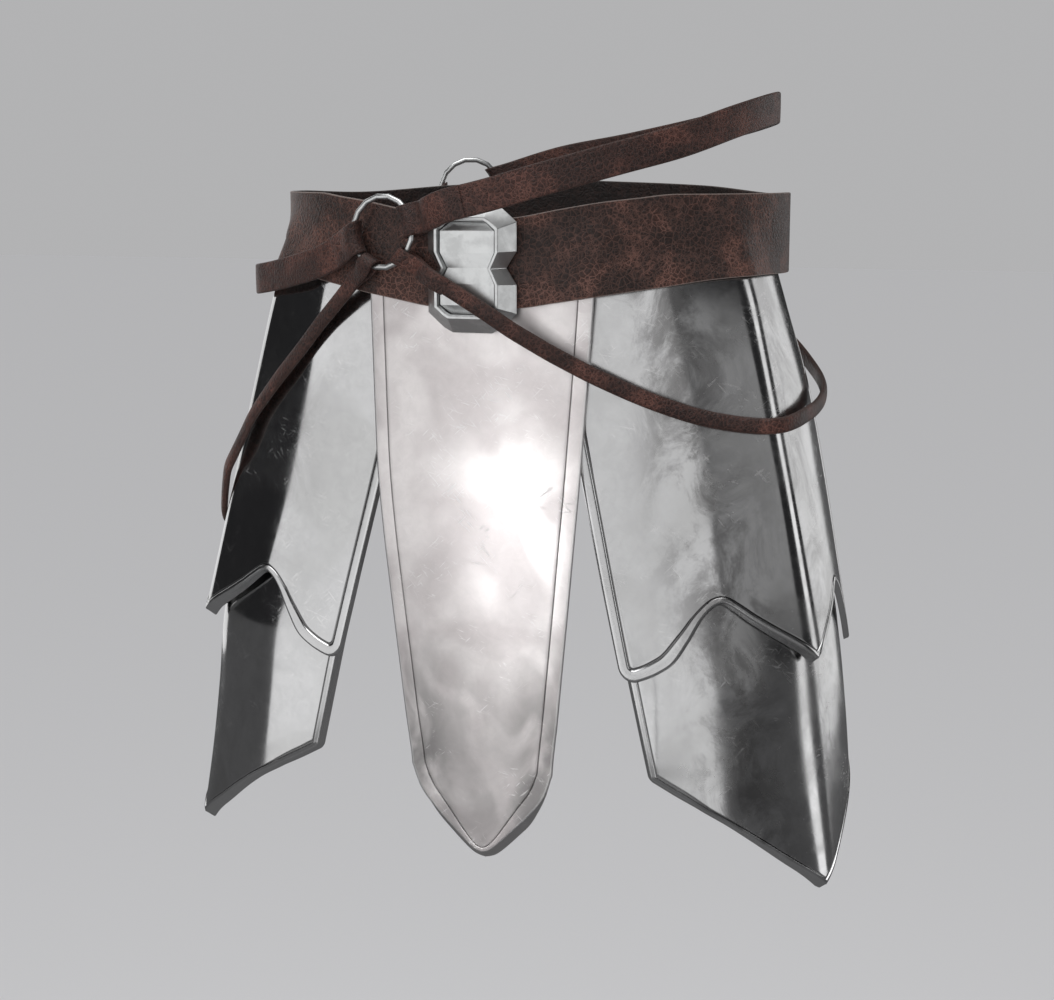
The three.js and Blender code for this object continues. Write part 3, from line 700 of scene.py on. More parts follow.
HIP_COLUMNS = "z front_x front_y crease_x crease_y ridge_x ridge_y bend_x bend_y back_x back_y"
UPPER_TABLE = Profile(HIP_COLUMNS, [
    (10, 34, -114, 115, -99.5, 159, -64, 178, -14, 150, 58),
    (-20, 41, -116.3, 122, -100.5, 170.5, -70, 183, -15, 162, 58),
    (-40, 45.5, -117, 126.3, -101.5, 176.7, -72.7, 188, -16, 170, 57),
    (-100, 59.4, -119.5, 138.7, -100, 190.3, -77.5, 204.5, -19, 190, 55),
    (-165, 74.5, -123.4, 151.3, -104.2, 205.4, -82.2, 217, -21, 205, 52),
    (-232, 90, -129.3, 166.7, -115.1, 220.6, -87.9, 231, -24, 218, 47),
    (-290, 103.5, -133, 180, -124.5, 233.5, -93.5, 241.5, -27, 229, 41),
])
LOWER_TABLE = Profile(HIP_COLUMNS, [
    (-190, 86, -120.9, 156.6, -105.4, 208.2, -82.4, 219.6, -22.2, 207.5, 46),
    (-234, 95.7, -123.6, 165, -108.5, 209.5, -80.5, 223, -22, 213, 40),
    (-276, 105, -126.8, 175, -115.5, 219.3, -83.9, 232.5, -22, 220, 38),
    (-330, 117, -127.2, 181, -118.5, 225.3, -82.8, 240, -24, 226, 36),
    (-381, 128.5, -127, 184.5, -119.5, 231.9, -83.5, 245, -28, 231, 33),
    (-440, 141, -126.6, 190, -118.5, 241, -87.3, 250, -32, 236, 30),
])
FRONT_TABLE = Profile("z half edge middle", [
    (10, 80, -119, -128),
    (-34, 78.9, -121.5, -130.5),
    (-75, 76.9, -124, -133),
    (-115, 74.7, -126.8, -135.5),
    (-156, 72.2, -129.3, -137),
    (-197, 68.6, -129.5, -136.5),
    (-240, 64.4, -128, -134.5),
    (-282, 60.1, -126.5, -132),
    (-324, 55.8, -125, -129.5),
    (-366, 51.3, -123.5, -126.5),
    (-430, 51.3, -121.5, -123),
])
FRONT_TIP = Profile("x z", [
    (0, -424.8), (5, -423), (11.5, -417.6), (20.5, -408.7), (37.5, -391), (46, -379), (51.3, -364),
])
WAVE_EDGE = Profile("across z", [
    (0, -273), (0.11, -262.3), (0.2, -254.3), (0.29, -245.8), (0.35, -239.3), (0.41, -234.2),
    (0.47, -236.5), (0.54, -245), (0.62, -259), (0.72, -274.5), (0.81, -282.2), (0.89, -286.8),
    (0.95, -289.3), (1, -291),
])
SLANTED_EDGE = Profile("across z", [
    (0, -433.3), (0.17, -416.5), (0.345, -400), (0.52, -386.3), (0.69, -376.3), (0.855, -366.9),
    (1, -357.5),
])
ROLLED_RIM = Profile("distance height", [
    (0, 0.1), (0.3, 0.42), (0.8, 0.66), (1.6, 0.76), (3, 0.8), (4.6, 0.76), (5.2, 0.62), (5.6, 0.3),
    (5.8, 0.0), (6.1, -0.4), (6.5, -0.5), (6.9, -0.35), (7.2, -0.05), (7.6, 0), (9, 0), (12.5, 0),
])
ENGRAVED_RIM = Profile("distance height", [
    (0, 0), (0.35, 0.12), (0.9, 0.2), (2, 0.22), (4, 0.22), (6, 0.2), (7.15, 0.12), (7.3, -0.1),
    (7.42, -0.32), (7.56, -0.38), (7.7, -0.32), (7.82, -0.05), (8.0, 0), (9.5, 0), (12.5, 0),
])
BEVELLED_RIM = Profile("distance height", [
    (0, 0), (0.5, 0.1), (1.6, 0.35), (3, 0.7), (3.4, 0.76), (3.8, 0.5), (4.1, 0.0), (4.4, -0.35),
    (4.8, -0.4), (5.1, -0.1), (5.4, 0), (7, 0), (9.5, 0), (12.5, 0),
])
FRONT_FACET = Profile("z width lift", [
    (-190, 0.17, 0.8), (-290, 0.14, 0.8), (-345, 0.05, 0.4), (-358, 0.03, 0.0), (-440, 0.03, 0.0),
])
UPPER_SHAPE = HipPlate(
    top=TOP_OF_PLATES, corner_radius=11, rim=ROLLED_RIM, ridge_flange=(8, 3.5), side_flange=(3.6, 1.2),
    flange_reach=0.55, table=UPPER_TABLE, edge=WAVE_EDGE, front_bend=0.06,
    rim_scale=(1.15, 0.62), scale_from=0.86,
)
LOWER_SHAPE = HipPlate(
    top=-190, corner_radius=2, rim=BEVELLED_RIM, ridge_flange=(8, 4), side_flange=(6, 3),
    flange_reach=0.55, table=LOWER_TABLE, edge=SLANTED_EDGE, front_bend=0.3, ridge_width=0.12,
    facet=FRONT_FACET, rim_scale=(1.0, 0.6), scale_from=0.93,
)
FRONT_SHAPE = FrontPlate(
    top=TOP_OF_FRONT_PLATE, corner_radius=0, rim=ENGRAVED_RIM, ridge_flange=(8, 6.5),
    side_flange=(3, 0.2), flange_reach=0.5, table=FRONT_TABLE, tip=FRONT_TIP,
    rim_scale=(1.35, 0.45), scale_from=1.0, scale_span=0.9,
)


# The waist that the belt goes round


def convex_outline(points: np.ndarray) -> np.ndarray:
    """Convex outline of plan positions.

    Args:
        points: the positions.

    Returns:
        The outline's corners, in order round the waist.
    """
    ordered = sorted(map(tuple, points))

    def chain(items: list[tuple[float, float]]) -> list[tuple[float, float]]:
        """Half of the outline."""
        kept: list[tuple[float, float]] = []
        for p in items:
            while len(kept) > 1:
                a, b = kept[-2], kept[-1]
                if (b[0] - a[0]) * (p[1] - a[1]) - (b[1] - a[1]) * (p[0] - a[0]) > 0:
                    break
                kept.pop()
            kept.append(p)
        return kept[:-1]

    return np.array(chain(ordered) + chain(ordered[::-1]))


SHARP_UPPER = replace(UPPER_SHAPE, front_bend=SHARP_FRONT_BEND, ridge_width=0)


@lru_cache(maxsize=None)
def waist_outline(z: float) -> tuple[np.ndarray, np.ndarray]:
    """Outline of the waist at a height, pushed out where the plates press on the belt.

    Args:
        z: the height.

    Returns:
        The outward direction of each side of the outline, and its distance from the axis.
    """
    clearance, relax = 0.6 + RIM_HEIGHT, 24
    angle = np.radians(np.arange(72) * 5)
    wide, deep = BELT_HALF_WIDTH - BELT_THICKNESS, BELT_HALF_DEPTH - BELT_THICKNESS
    positions = [np.stack([wide * np.sin(angle), -deep * np.cos(angle)], -1)]
    across = np.arange(-1, 1.001, 0.04)
    for shape, top in ((SHARP_UPPER, TOP_OF_PLATES), (FRONT_SHAPE, TOP_OF_FRONT_PLATE)):
        plan = shape.surface(across, np.full_like(across, min(z, top)))[:, :2]
        fade = smooth((z - top) / relax)
        waist = 1 / np.hypot(plan[:, 0] / wide, plan[:, 1] / deep)
        grow = 1 + clearance / np.hypot(plan[:, 0], plan[:, 1])
        plan = plan * (grow + (np.minimum(grow, waist) - grow) * fade)[:, None]
        positions += [plan, plan * [-1, 1]]
    outline = convex_outline(np.concatenate(positions))
    side = np.roll(outline, -1, axis=0) - outline
    out = unit(np.stack([side[:, 1], -side[:, 0]], -1))
    return out, np.einsum("ij,ij->i", out, outline)


def waist_radius(degrees: np.ndarray, z: float) -> np.ndarray:
    """Measures from the waist's axis to the belt's inner face.

    Args:
        degrees: angles from the front.
        z: the height.

    Returns:
        The distance at each angle.
    """
    out, reach = waist_outline(z)
    angle = np.radians(np.atleast_1d(degrees))
    direction = np.stack([np.sin(angle), -np.cos(angle)], -1)
    facing = direction @ out.T
    return np.where(facing > 1e-9, reach / np.maximum(facing, 1e-9), 1e9).min(axis=1)


def belt_point(degrees: float, z: float, out: float) -> np.ndarray:
    """Finds a point by its place on the belt.

    Args:
        degrees: angle from the front.
        z: height.
        out: distance outside the belt's inner face.

    Returns:
        The point.
    """
    radius = waist_radius(np.array([degrees]), z)[0] + out
    angle = math.radians(degrees)
    return np.array([radius * math.sin(angle), -radius * math.cos(angle), z])


@dataclass
class Belt:
    """The wide leather belt. Its upper and lower edges are read by the angle from the front.

    rounding gives how far the leather is drawn in at distances from its edges. slack is the space
    between the waist and the belt.
    """

    thickness: float = BELT_THICKNESS
    columns: int = 288
    rows: int = 17
    slack: float = 0.15
    height_step: float = 3.0
    angle_step: float = 0.5
    rounding: tuple[tuple[float, float], ...] = ((0.0, 0.75), (0.12, 0.35), (0.45, 0.1), (1.0, 0.0))
    top: Profile = field(default_factory=lambda: Profile("angle z", [
        (0, 15.5), (13, 18.2), (24, 23.2), (35, 27.8), (44, 30.5), (53, 33), (90, 33), (112, 31.5),
        (138, 36.5), (180, 40),
    ]))
    bottom: Profile = field(default_factory=lambda: Profile("angle z", [
        (0, -43), (13, -41.4), (24, -37.2), (34, -33.2), (49, -27.6), (59, -23.3), (69, -21),
        (95, -22.4), (140, -19), (180, -16),
    ]))

    def __post_init__(self) -> None:
        """Measures the belt's inner radius on a grid of heights and angles, with its corners eased."""
        self.heights = np.arange(-46, 44.1, self.height_step)
        angles = np.arange(0, 360, self.angle_step)
        table = np.array([waist_radius(angles, float(z)) for z in self.heights])
        self.table = sum(np.roll(table, shift, axis=1) for shift in range(-3, 4)) / 7 + self.slack

    def radius_at(self, degrees: float, z: float) -> float:
        """Reads the grid of inner radii between its lines.

        Args:
            degrees: angle from the front.
            z: height.

        Returns:
            The belt's inner radius there.
        """
        v = np.clip((z - self.heights[0]) / self.height_step, 0, len(self.heights) - 1.001)
        u = degrees / self.angle_step % self.table.shape[1]
        j, i = int(v), int(u)
        after = (i + 1) % self.table.shape[1]
        lower, upper = (row[i] + (row[after] - row[i]) * (u - i) for row in self.table[j : j + 2])
        return float(lower + (upper - lower) * (v - j))

    def section_rows(self, low: float, high: float) -> list[tuple[float, float]]:
        """Cuts the belt across.

        Args:
            low: height of its lower edge.
            high: height of its upper edge.

        Returns:
            Heights up one face, and how far each is drawn in by the rounded edges.
        """
        lower = [(low + up, inset) for up, inset in self.rounding]
        upper = [(high - up, inset) for up, inset in self.rounding[::-1]]
        flat = self.rounding[-1][0]
        between = np.linspace(low + flat, high - flat, self.rows)[1:-1]
        return lower + [(float(z), 0.0) for z in between] + upper

    def build(self, name: str) -> bpy.types.Object:
        """Makes the belt.

        Args:
            name: the piece's name.

        Returns:
            The piece.
        """
        points, from_edge, back = [], [], []
        for k in range(self.columns):
            degrees = 360 * k / self.columns
            angle, from_front = math.radians(degrees), min(degrees, 360 - degrees)
            low, high = (float(edge.read("z", from_front)) for edge in (self.bottom, self.top))
            rows = self.section_rows(low, high)
            outer = [(self.thickness - inset, z) for z, inset in rows]
            inner = [(inset, z) for z, inset in rows[::-1]]
            for out, z in outer + inner:
                radius = self.radius_at(degrees, z) + out
                points.append((radius * math.sin(angle), -radius * math.cos(angle), z))
                from_edge.append(min(z - low, high - z))
            # back marks the inner face, on which the finish paints shade.
            back += [0.0] * len(outer) + [1.0] * len(inner)
        marks = {"edge_distance": np.array(from_edge), "back": np.array(back)}
        faces = loop_faces(self.columns, len(points) // self.columns, True)
        return new_piece(name, np.array(points), faces, sharp_above=60, marks=marks)


# Rings and straps


@dataclass
class Ring:
    """A ring of faceted wire that stands off the belt."""

    angle: float
    height: float
    radius: float = 23.8
    wire: float = 2.0
    sides: int = 16
    facets: int = 20
    standoff: float = 6.8
    reach_round: float = 9.0
    reach_up: float = 18.0

    def __post_init__(self) -> None:
        """Finds the ring's centre and the three directions of its place on the belt."""
        on = belt_point(self.angle, self.height, BELT_THICKNESS)
        before, after = (
            belt_point(self.angle + turn, self.height, BELT_THICKNESS)
            for turn in (-self.reach_round, self.reach_round)
        )
        below, above = (
            belt_point(self.angle, self.height + rise, 0) for rise in (-self.reach_up, self.reach_up)
        )
        along = unit(after - before)
        along = along * (-1 if along[0] < 0 else 1)
        up = above - below
        up = unit(up - along * up.dot(along))
        out = unit(np.cross(along, up))
        out = out * (-1 if out[:2].dot(on[:2]) < 0 else 1)
        self.along, self.up, self.out = along, up, out
        self.centre = on + out * self.standoff

    def direction(self, degrees: float) -> np.ndarray:
        """A direction in the ring's plane, by the angle from its right-hand side."""
        angle = math.radians(degrees)
        return self.along * math.cos(angle) + self.up * math.sin(angle)

    def build(self, name: str) -> bpy.types.Object:
        """Makes the ring.

        Args:
            name: the piece's name.

        Returns:
            The piece.
        """
        points = []
        for k in range(self.sides):
            spoke = self.direction(360 * (k + 0.5) / self.sides)
            for j in range(self.facets):
                turn = 2 * math.pi * j / self.facets
                reach = self.radius + self.wire * math.cos(turn)
                points.append(self.centre + spoke * reach + self.out * self.wire * math.sin(turn))
        faces = loop_faces(self.sides, self.facets, True)
        return new_piece(name, np.array(points), faces, sharp_above=20)


class RouteCurve:
    """A smooth curve through points, read by the length along it."""

    def __init__(self, points: np.ndarray) -> None:
        """Samples a centripetal curve.

        Args:
            points: the points that it goes through.
        """
        ends = np.concatenate([[2 * points[0] - points[1]], points, [2 * points[-1] - points[-2]]])
        samples = []
        for i in range(len(points) - 1):
            p0, p1, p2, p3 = ends[i : i + 4]
            d0, d1, d2 = (math.sqrt(np.linalg.norm(b - a)) for a, b in ((p0, p1), (p1, p2), (p2, p3)))
            m1 = ((p1 - p0) / d0 - (p2 - p0) / (d0 + d1) + (p2 - p1) / d1) * d1
            m2 = ((p2 - p1) / d1 - (p3 - p1) / (d1 + d2) + (p3 - p2) / d2) * d1
            t = np.linspace(0, 1, 81)[:-1, None]
            samples.append(
                p1 + m1 * t + (3 * (p2 - p1) - 2 * m1 - m2) * t**2 + (2 * (p1 - p2) + m1 + m2) * t**3
            )
        self.samples = np.concatenate([*samples, points[-1:]])
        steps = np.linalg.norm(np.diff(self.samples, axis=0), axis=1)
        self.lengths = np.concatenate([[0], np.cumsum(steps)])
        self.total = float(self.lengths[-1])

    def point(self, length: float) -> np.ndarray:
        """The point at some length along the curve."""
        return np.array([np.interp(length, self.lengths, self.samples[:, k]) for k in range(3)])

    def tangent(self, length: float) -> np.ndarray:
        """The direction of the curve at some length."""
        return unit(self.point(min(length + 0.8, self.total)) - self.point(max(length - 0.8, 0)))


@dataclass(frozen=True)
class StrapEnd:
    """How a strap goes round a ring.

    angle is where on the ring it does so and leave the way it goes on, both in degrees. tail is
    the length that is turned back.
    """

    angle: float
    leave: float
    tail: float


@dataclass
class Anchor:
    """One end of a strap on its ring."""

    ring: Ring
    end: StrapEnd

    def __post_init__(self) -> None:
        """Works out the directions at the ring's wire."""
        self.away = self.ring.direction(self.end.leave)
        self.spoke = self.ring.direction(self.end.angle)
        self.wire = self.ring.centre + self.spoke * self.ring.radius

    def foot(self, run: float, fold_radius: float) -> np.ndarray:
        """A point of the strap's route under the wire."""
        return self.wire - self.ring.out * fold_radius + self.away * run


@dataclass
class Strap:
    """A leather strap between the two rings. Each end goes round a ring and back on itself.

    Lengths along the strap: foot is the stretch that starts straight under the wire, hug the one
    that follows the ring's curve, settle the one that turns from the ring's plane to the waist's,
    drop the one on which the tail comes down on the strap, skive the thinned part of the tail, and
    tip its rounded end.
    """

    width: float
    thickness: float
    fold_width: float
    fold_thickness: float
    rounding: float
    crown: float
    start: StrapEnd
    end: StrapEnd
    route: Sequence[Triple]
    fold_radius: float = 4.5
    step: float = 3.2
    foot: float = 7.0
    hug: float = 16.0
    settle: float = 30.0
    drop: float = 14.0
    skive: float = 12.0
    tip: float = 1.2

    def section(self, width: float, thickness: float) -> list[tuple[float, float]]:
        """Cuts the strap across: a flat bar with round corners and a slight crown.

        Args:
            width: its width.
            thickness: its thickness.

        Returns:
            The outline, each point with its places across and through the strap.
        """
        w, t = width / 2, thickness / 2
        r = min(self.rounding, t * 0.97)
        outline: list[tuple[float, float]] = []
        for corner, (sx, sy) in enumerate(((1, 1), (-1, 1), (-1, -1), (1, -1))):
            for k in range(5):
                angle = math.radians(90 * corner + 22.5 * k)
                x, y = sx * (w - r) + r * math.cos(angle), (t - r) * sy + r * math.sin(angle)
                outline.append((x, y * (1 - self.crown * (x / w) ** 2)))
            if corner in (0, 2):
                x0 = outline[-1][0]
                for share in (0.14, 0.32, 0.5, 0.68, 0.86):
                    x = x0 * (1 - 2 * share)
                    outline.append((x, sy * t * (1 - self.crown * (x / w) ** 2)))
        return outline

    def place_section(
        self,
        centre: np.ndarray,
        across: np.ndarray,
        tangent: np.ndarray,
        anchor: Anchor,
        share: float,
        size: tuple[float, float],
    ) -> list[np.ndarray]:
        """Puts the cut outline at a point of the route.

        Args:
            centre: the point.
            across: direction of the strap's width.
            tangent: direction of the route.
            anchor: the nearer end, whose ring the fold follows.
            share: how far the outline follows the curve of the ring.
            size: width and thickness.

        Returns:
            The points of the outline.
        """
        through = unit(np.cross(across, tangent))
        lead = anchor.ring.radius * anchor.spoke.dot(anchor.away)
        lean = anchor.spoke.dot(across)
        points = []
        for q, h in self.section(*size):
            point = centre + across * q + through * h
            if share > 0:
                rest = q * q + 2 * anchor.ring.radius * q * lean
                point = point + anchor.away * (math.sqrt(max(0, lead * lead - rest)) - lead) * share
            points.append(point)
        return points

    def facing(self, point: np.ndarray, anchor: Anchor, length: float) -> np.ndarray:
        """Direction that the strap's outer side faces.

        Args:
            point: a point of the route.
            anchor: the nearer end.
            length: length of strap between the point and that end.

        Returns:
            The ring's own direction near the ring, and elsewhere the direction off the waist.
        """
        near = fading(length, self.settle)
        off_waist = np.array([point[0] / BELT_HALF_WIDTH**2, point[1] / BELT_HALF_DEPTH**2, 0])
        return unit(unit(off_waist) * (1 - near) + anchor.ring.out * near)

    def tail_sections(self, curve: RouteCurve, anchor: Anchor, is_last: bool) -> list[list[np.ndarray]]:
        """Makes the tail that lies back on the strap.

        Args:
            curve: the route.
            anchor: the end of the strap.
            is_last: whether it is the end of the route, not the start.

        Returns:
            Outlines from the tail's tip to the wire.
        """
        tail, fold = anchor.end.tail, self.fold_thickness
        sign = -1 if is_last else 1
        across_fold = unit(np.cross(anchor.away, anchor.ring.out)) * sign
        gap = fold + 0.5
        even = np.linspace(tail - 2, 1.5, max(6, int(tail / 2.5)))
        runs = [tail, tail - 0.3, tail - 0.9, *even]
        made = []
        for s in runs:
            length = curve.total - s if is_last else s
            thinned = 0.7 * fading(tail - s, self.skive)
            lift = gap + (2 * self.fold_radius - gap) * fading(s, self.drop) - thinned * (fold / 2 + 0.35)
            at = curve.point(length)
            normal = self.facing(at, anchor, s)
            tangent = curve.tangent(length) * -sign
            across = unit(np.cross(tangent, normal))
            across = across * (-1 if across.dot(across_fold) < 0 else 1)
            size = (self.fold_width * (1 - 0.06 * fading(tail - s, self.tip)), fold * (1 - thinned))
            share = fading(s, self.hug)
            made.append(self.place_section(at + normal * lift, across, tangent, anchor, share, size))
        return made

    def turned_end(self, curve: RouteCurve, anchor: Anchor, is_last: bool) -> list[list[np.ndarray]]:
        """Makes the tail and the fold round the wire.

        Args:
            curve: the route.
            anchor: the end of the strap.
            is_last: whether it is the end of the route, not the start.

        Returns:
            Outlines in the order in which they follow the route.
        """
        sign = -1 if is_last else 1
        out, away, r = anchor.ring.out, anchor.away, self.fold_radius
        across_fold = unit(np.cross(away, out)) * sign
        made = self.tail_sections(curve, anchor, is_last)
        for degrees in range(180, 0, -12):
            cos, sin = math.cos(math.radians(degrees)), math.sin(math.radians(degrees))
            centre = anchor.wire - out * r * cos - away * r * sin
            tangent = (away * cos - out * sin) * sign
            size = (self.fold_width, self.fold_thickness)
            made.append(self.place_section(centre, across_fold, tangent, anchor, 1, size))
        return made[::-1] if is_last else made

    def build(self, name: str, rings: tuple[Ring, Ring]) -> bpy.types.Object:
        """Makes the strap.

        Args:
            name: the piece's name.
            rings: the rings at its start and its end.

        Returns:
            The piece.
        """
        first, last = Anchor(rings[0], self.start), Anchor(rings[1], self.end)
        begin, finish = ([at.foot(run, self.fold_radius) for run in (0, self.foot)] for at in (first, last))
        curve = RouteCurve(np.array([*begin, *self.route, *finish[::-1]], float))
        count = int(curve.total / self.step)
        main = []
        for k in range(count + 1):
            length = curve.total * k / count
            reach = min(length, curve.total - length)
            near = first if length < curve.total / 2 else last
            at, tangent = curve.point(length), curve.tangent(length)
            across = unit(np.cross(tangent, self.facing(at, near, reach)))
            broad = float(smooth((reach - self.drop) / self.settle))
            size = (
                self.fold_width + (self.width - self.fold_width) * broad,
                self.fold_thickness + (self.thickness - self.fold_thickness) * broad,
            )
            main.append(self.place_section(at, across, tangent, near, fading(reach, self.hug), size))
        loops = [*self.turned_end(curve, first, False), *main, *self.turned_end(curve, last, True)]
        from_edge = [self.width / 2 - abs(q) for q, _ in self.section(self.width, self.thickness)]
        marks = {"edge_distance": np.tile(from_edge, len(loops))}
        LOG.info("%s is %.0f mm long between its rings", name, curve.total)
        faces = loop_faces(len(loops), len(from_edge), False)
        return new_piece(name, np.array(loops).reshape(-1, 3), faces, sharp_above=50, marks=marks)


WAIST_RIGHT_ROUTE = (
    (-27, -146.7, 19.8), (-21, -151.8, 22), (-12, -154.8, 25.4), (-2, -155, 28.1),
    (10, -153.5, 31), (24, -148.8, 35), (43, -144, 40.8), (61, -137.5, 46),
    (96, -121.5, 56.3), (130, -98, 66.8), (158, -62, 79.8),
    (171.5, -26, 87.5), (173, 12, 91), (163, 50, 90), (134, 91, 84.5), (88, 122, 76),
    (32, 138.5, 65.5), (-24, 141, 55.5),
)
WAIST_LEFT_ROUTE = (
    (-103.5, -120, -7), (-123.5, -111.5, -15), (-148, -98.5, -21.5), (-171, -84, -26.5),
    (-186, -73, -29), (-194, -58, -30), (-198, -30, -30), (-200, 0, -28), (-194, 36, -24),
    (-177, 71, -17), (-151, 98, -7),
)
THIGH_RIGHT_ROUTE = (
    (-20, -157, -21.6), (-8.6, -157, -28), (5, -155.4, -36.4), (18.1, -153.6, -44.8),
    (30.5, -150.3, -53.5), (43, -145.8, -61.6), (55, -141.2, -69.2), (67.3, -136.2, -76.4),
    (79.5, -131.2, -83.3), (91.7, -126.2, -89.6), (104, -121.2, -95.6), (116.3, -116.2, -101.1),
    (128.7, -111.1, -106), (141, -106.1, -110.4), (153.4, -101, -113.9), (165.8, -96, -116.4),
    (178.2, -91.8, -118), (188.5, -88.5, -118.6), (198.5, -82.5, -118), (204.8, -70, -116.5),
    (209, -50, -114.5), (211.5, -28, -112.5), (211.5, 0, -109), (206.5, 32, -104.5), (194, 66, -96),
    (168, 97, -76), (122, 121, -48), (62, 135, -22), (-8, 140, 2), (-52, 136, 17),
)
THIGH_LEFT_ROUTE = (
    (-87, -126, -23.5), (-98.5, -120.4, -34.2), (-110.5, -114.8, -45.5), (-122.5, -109.8, -57),
    (-135.5, -105.2, -71), (-149.2, -100.4, -85), (-162.8, -95.6, -99), (-175.2, -91.9, -113.1),
    (-186.4, -89.9, -127.3), (-194, -89.8, -141.1), (-201.6, -88.9, -154.5), (-209, -85.3, -166),
    (-214.2, -79.5, -178), (-219.5, -72, -191.5), (-225.5, -61, -203.5), (-232.5, -40, -212.5),
    (-235, -12, -211), (-230, 24, -196), (-216, 60, -166), (-196, 84, -124), (-170, 101, -76),
    (-142, 116, -30),
)
WAIST_SIZE = dict(width=21.5, thickness=3.0, fold_width=21.5, fold_thickness=3.0, rounding=1.3, crown=0.12)
THIGH_SIZE = dict(width=11.0, thickness=5.0, fold_width=12.0, fold_thickness=3.0, rounding=2.4, crown=0.34)
STRAPS = {
    "waist_strap_right": Strap(
        **WAIST_SIZE, start=StrapEnd(20, 17, 53), end=StrapEnd(20, 16, 26), route=WAIST_RIGHT_ROUTE
    ),
    "waist_strap_left": Strap(
        **WAIST_SIZE, start=StrapEnd(195, 205, 24), end=StrapEnd(200, 211, 22), route=WAIST_LEFT_ROUTE
    ),
    "thigh_strap_right": Strap(
        **THIGH_SIZE, start=StrapEnd(-44, -28, 50), end=StrapEnd(-44, -28, 22), route=THIGH_RIGHT_ROUTE
    ),
    "thigh_strap_left": Strap(
        **THIGH_SIZE, start=StrapEnd(243, 231, 22), end=StrapEnd(250, 238, 20), route=THIGH_LEFT_ROUTE
    ),
}


@dataclass(frozen=True)
class FrameLoop:
    """One outline of the buckle's frame, the same above and below its waist.

    half is half its width, waist half its width at the narrow middle, height half its height,
    straight the height at which its sides start, cut the size of its cut corners, and y its depth.
    """

    half: float
    waist: float
    height: float
    straight: float
    cut: float
    y: float

    def points(self, centre: float) -> list[Triple]:
        """Goes once round the outline.

        Args:
            centre: height of the buckle's middle.

        Returns:
            The corners, from the waist round the upper and then the lower end.
        """
        quarter = [
            (self.waist, 0), (self.half, self.straight), (self.half, self.height - self.cut * 0.95),
            (self.half - self.cut * 0.8, self.height - self.cut * 0.25),
            (self.half - self.cut * 1.25, self.height),
        ]
        upper = quarter + [(-x, z) for x, z in quarter[::-1]]
        lower = [(x, -z) for x, z in upper[-2:0:-1]]
        return [(x, self.y, z + centre) for x, z in upper + lower]


@dataclass
class Buckle:
    """The cast buckle: a frame like a figure of eight round a faceted panel.

    frame goes from the back over the sloping sides, the lip and the step inside the lip to the back
    again. panel has rows of height above the middle, half width and depth.
    """

    centre: float = -14.8
    panel_back: float = -137.0
    frame: tuple[FrameLoop, ...] = (
        FrameLoop(30.4, 23.4, 42.6, 11, 13.6, -135.2),
        FrameLoop(31, 24, 43.2, 11, 13.8, -137.2),
        FrameLoop(29.6, 23, 41.6, 11, 13, -139),
        FrameLoop(22.6, 17.6, 33.6, 10.8, 8, -149.2),
        FrameLoop(22, 17.1, 33, 10.6, 7.6, -150),
        FrameLoop(20, 15.2, 31.2, 10.3, 6.6, -150),
        FrameLoop(19.5, 14.7, 30.7, 10.1, 6.3, -148.6),
        FrameLoop(19.3, 14.4, 30.4, 10, 6.2, -147.4),
        FrameLoop(19.3, 14.4, 30.4, 10, 6.2, -135.2),
    )
    panel: tuple[Triple, ...] = (
        (30, 11.2, -145), (28.4, 14, -145.6), (24.2, 18.9, -147.2), (10.1, 18.9, -147.6),
        (0, 14, -146.2), (-10.1, 18.9, -147.6), (-24.2, 18.9, -147.2), (-28.4, 14, -145.6),
        (-30, 11.2, -145),
    )

    def build_frame(self, name: str) -> bpy.types.Object:
        """Makes the frame, with a flat lip, wide sloping sides and a step inside the lip.

        Args:
            name: the piece's name.

        Returns:
            The piece.
        """
        loops = np.array([loop.points(self.centre) for loop in self.frame])
        faces = loop_faces(*loops.shape[:2], True)
        piece = new_piece(name, loops.reshape(-1, 3), faces, sharp_above=10)
        bevelled(piece, width=0.35, segments=3, angle=14)
        return piece

    def build_panel(self, name: str) -> bpy.types.Object:
        """Makes the panel, folded into facets from top to bottom.

        Args:
            name: the piece's name.

        Returns:
            The piece.
        """
        points = []
        for up, half, y in self.panel:
            z, behind = self.centre + up, self.panel_back
            points += [(-half, behind, z), (-half, y, z), (half, y, z), (half, behind, z)]
        faces = loop_faces(len(self.panel), 4, False)
        piece = new_piece(name, np.array(points), faces, sharp_above=3)
        bevelled(piece, width=0.3, segments=2, angle=3)
        return piece


# Finishes


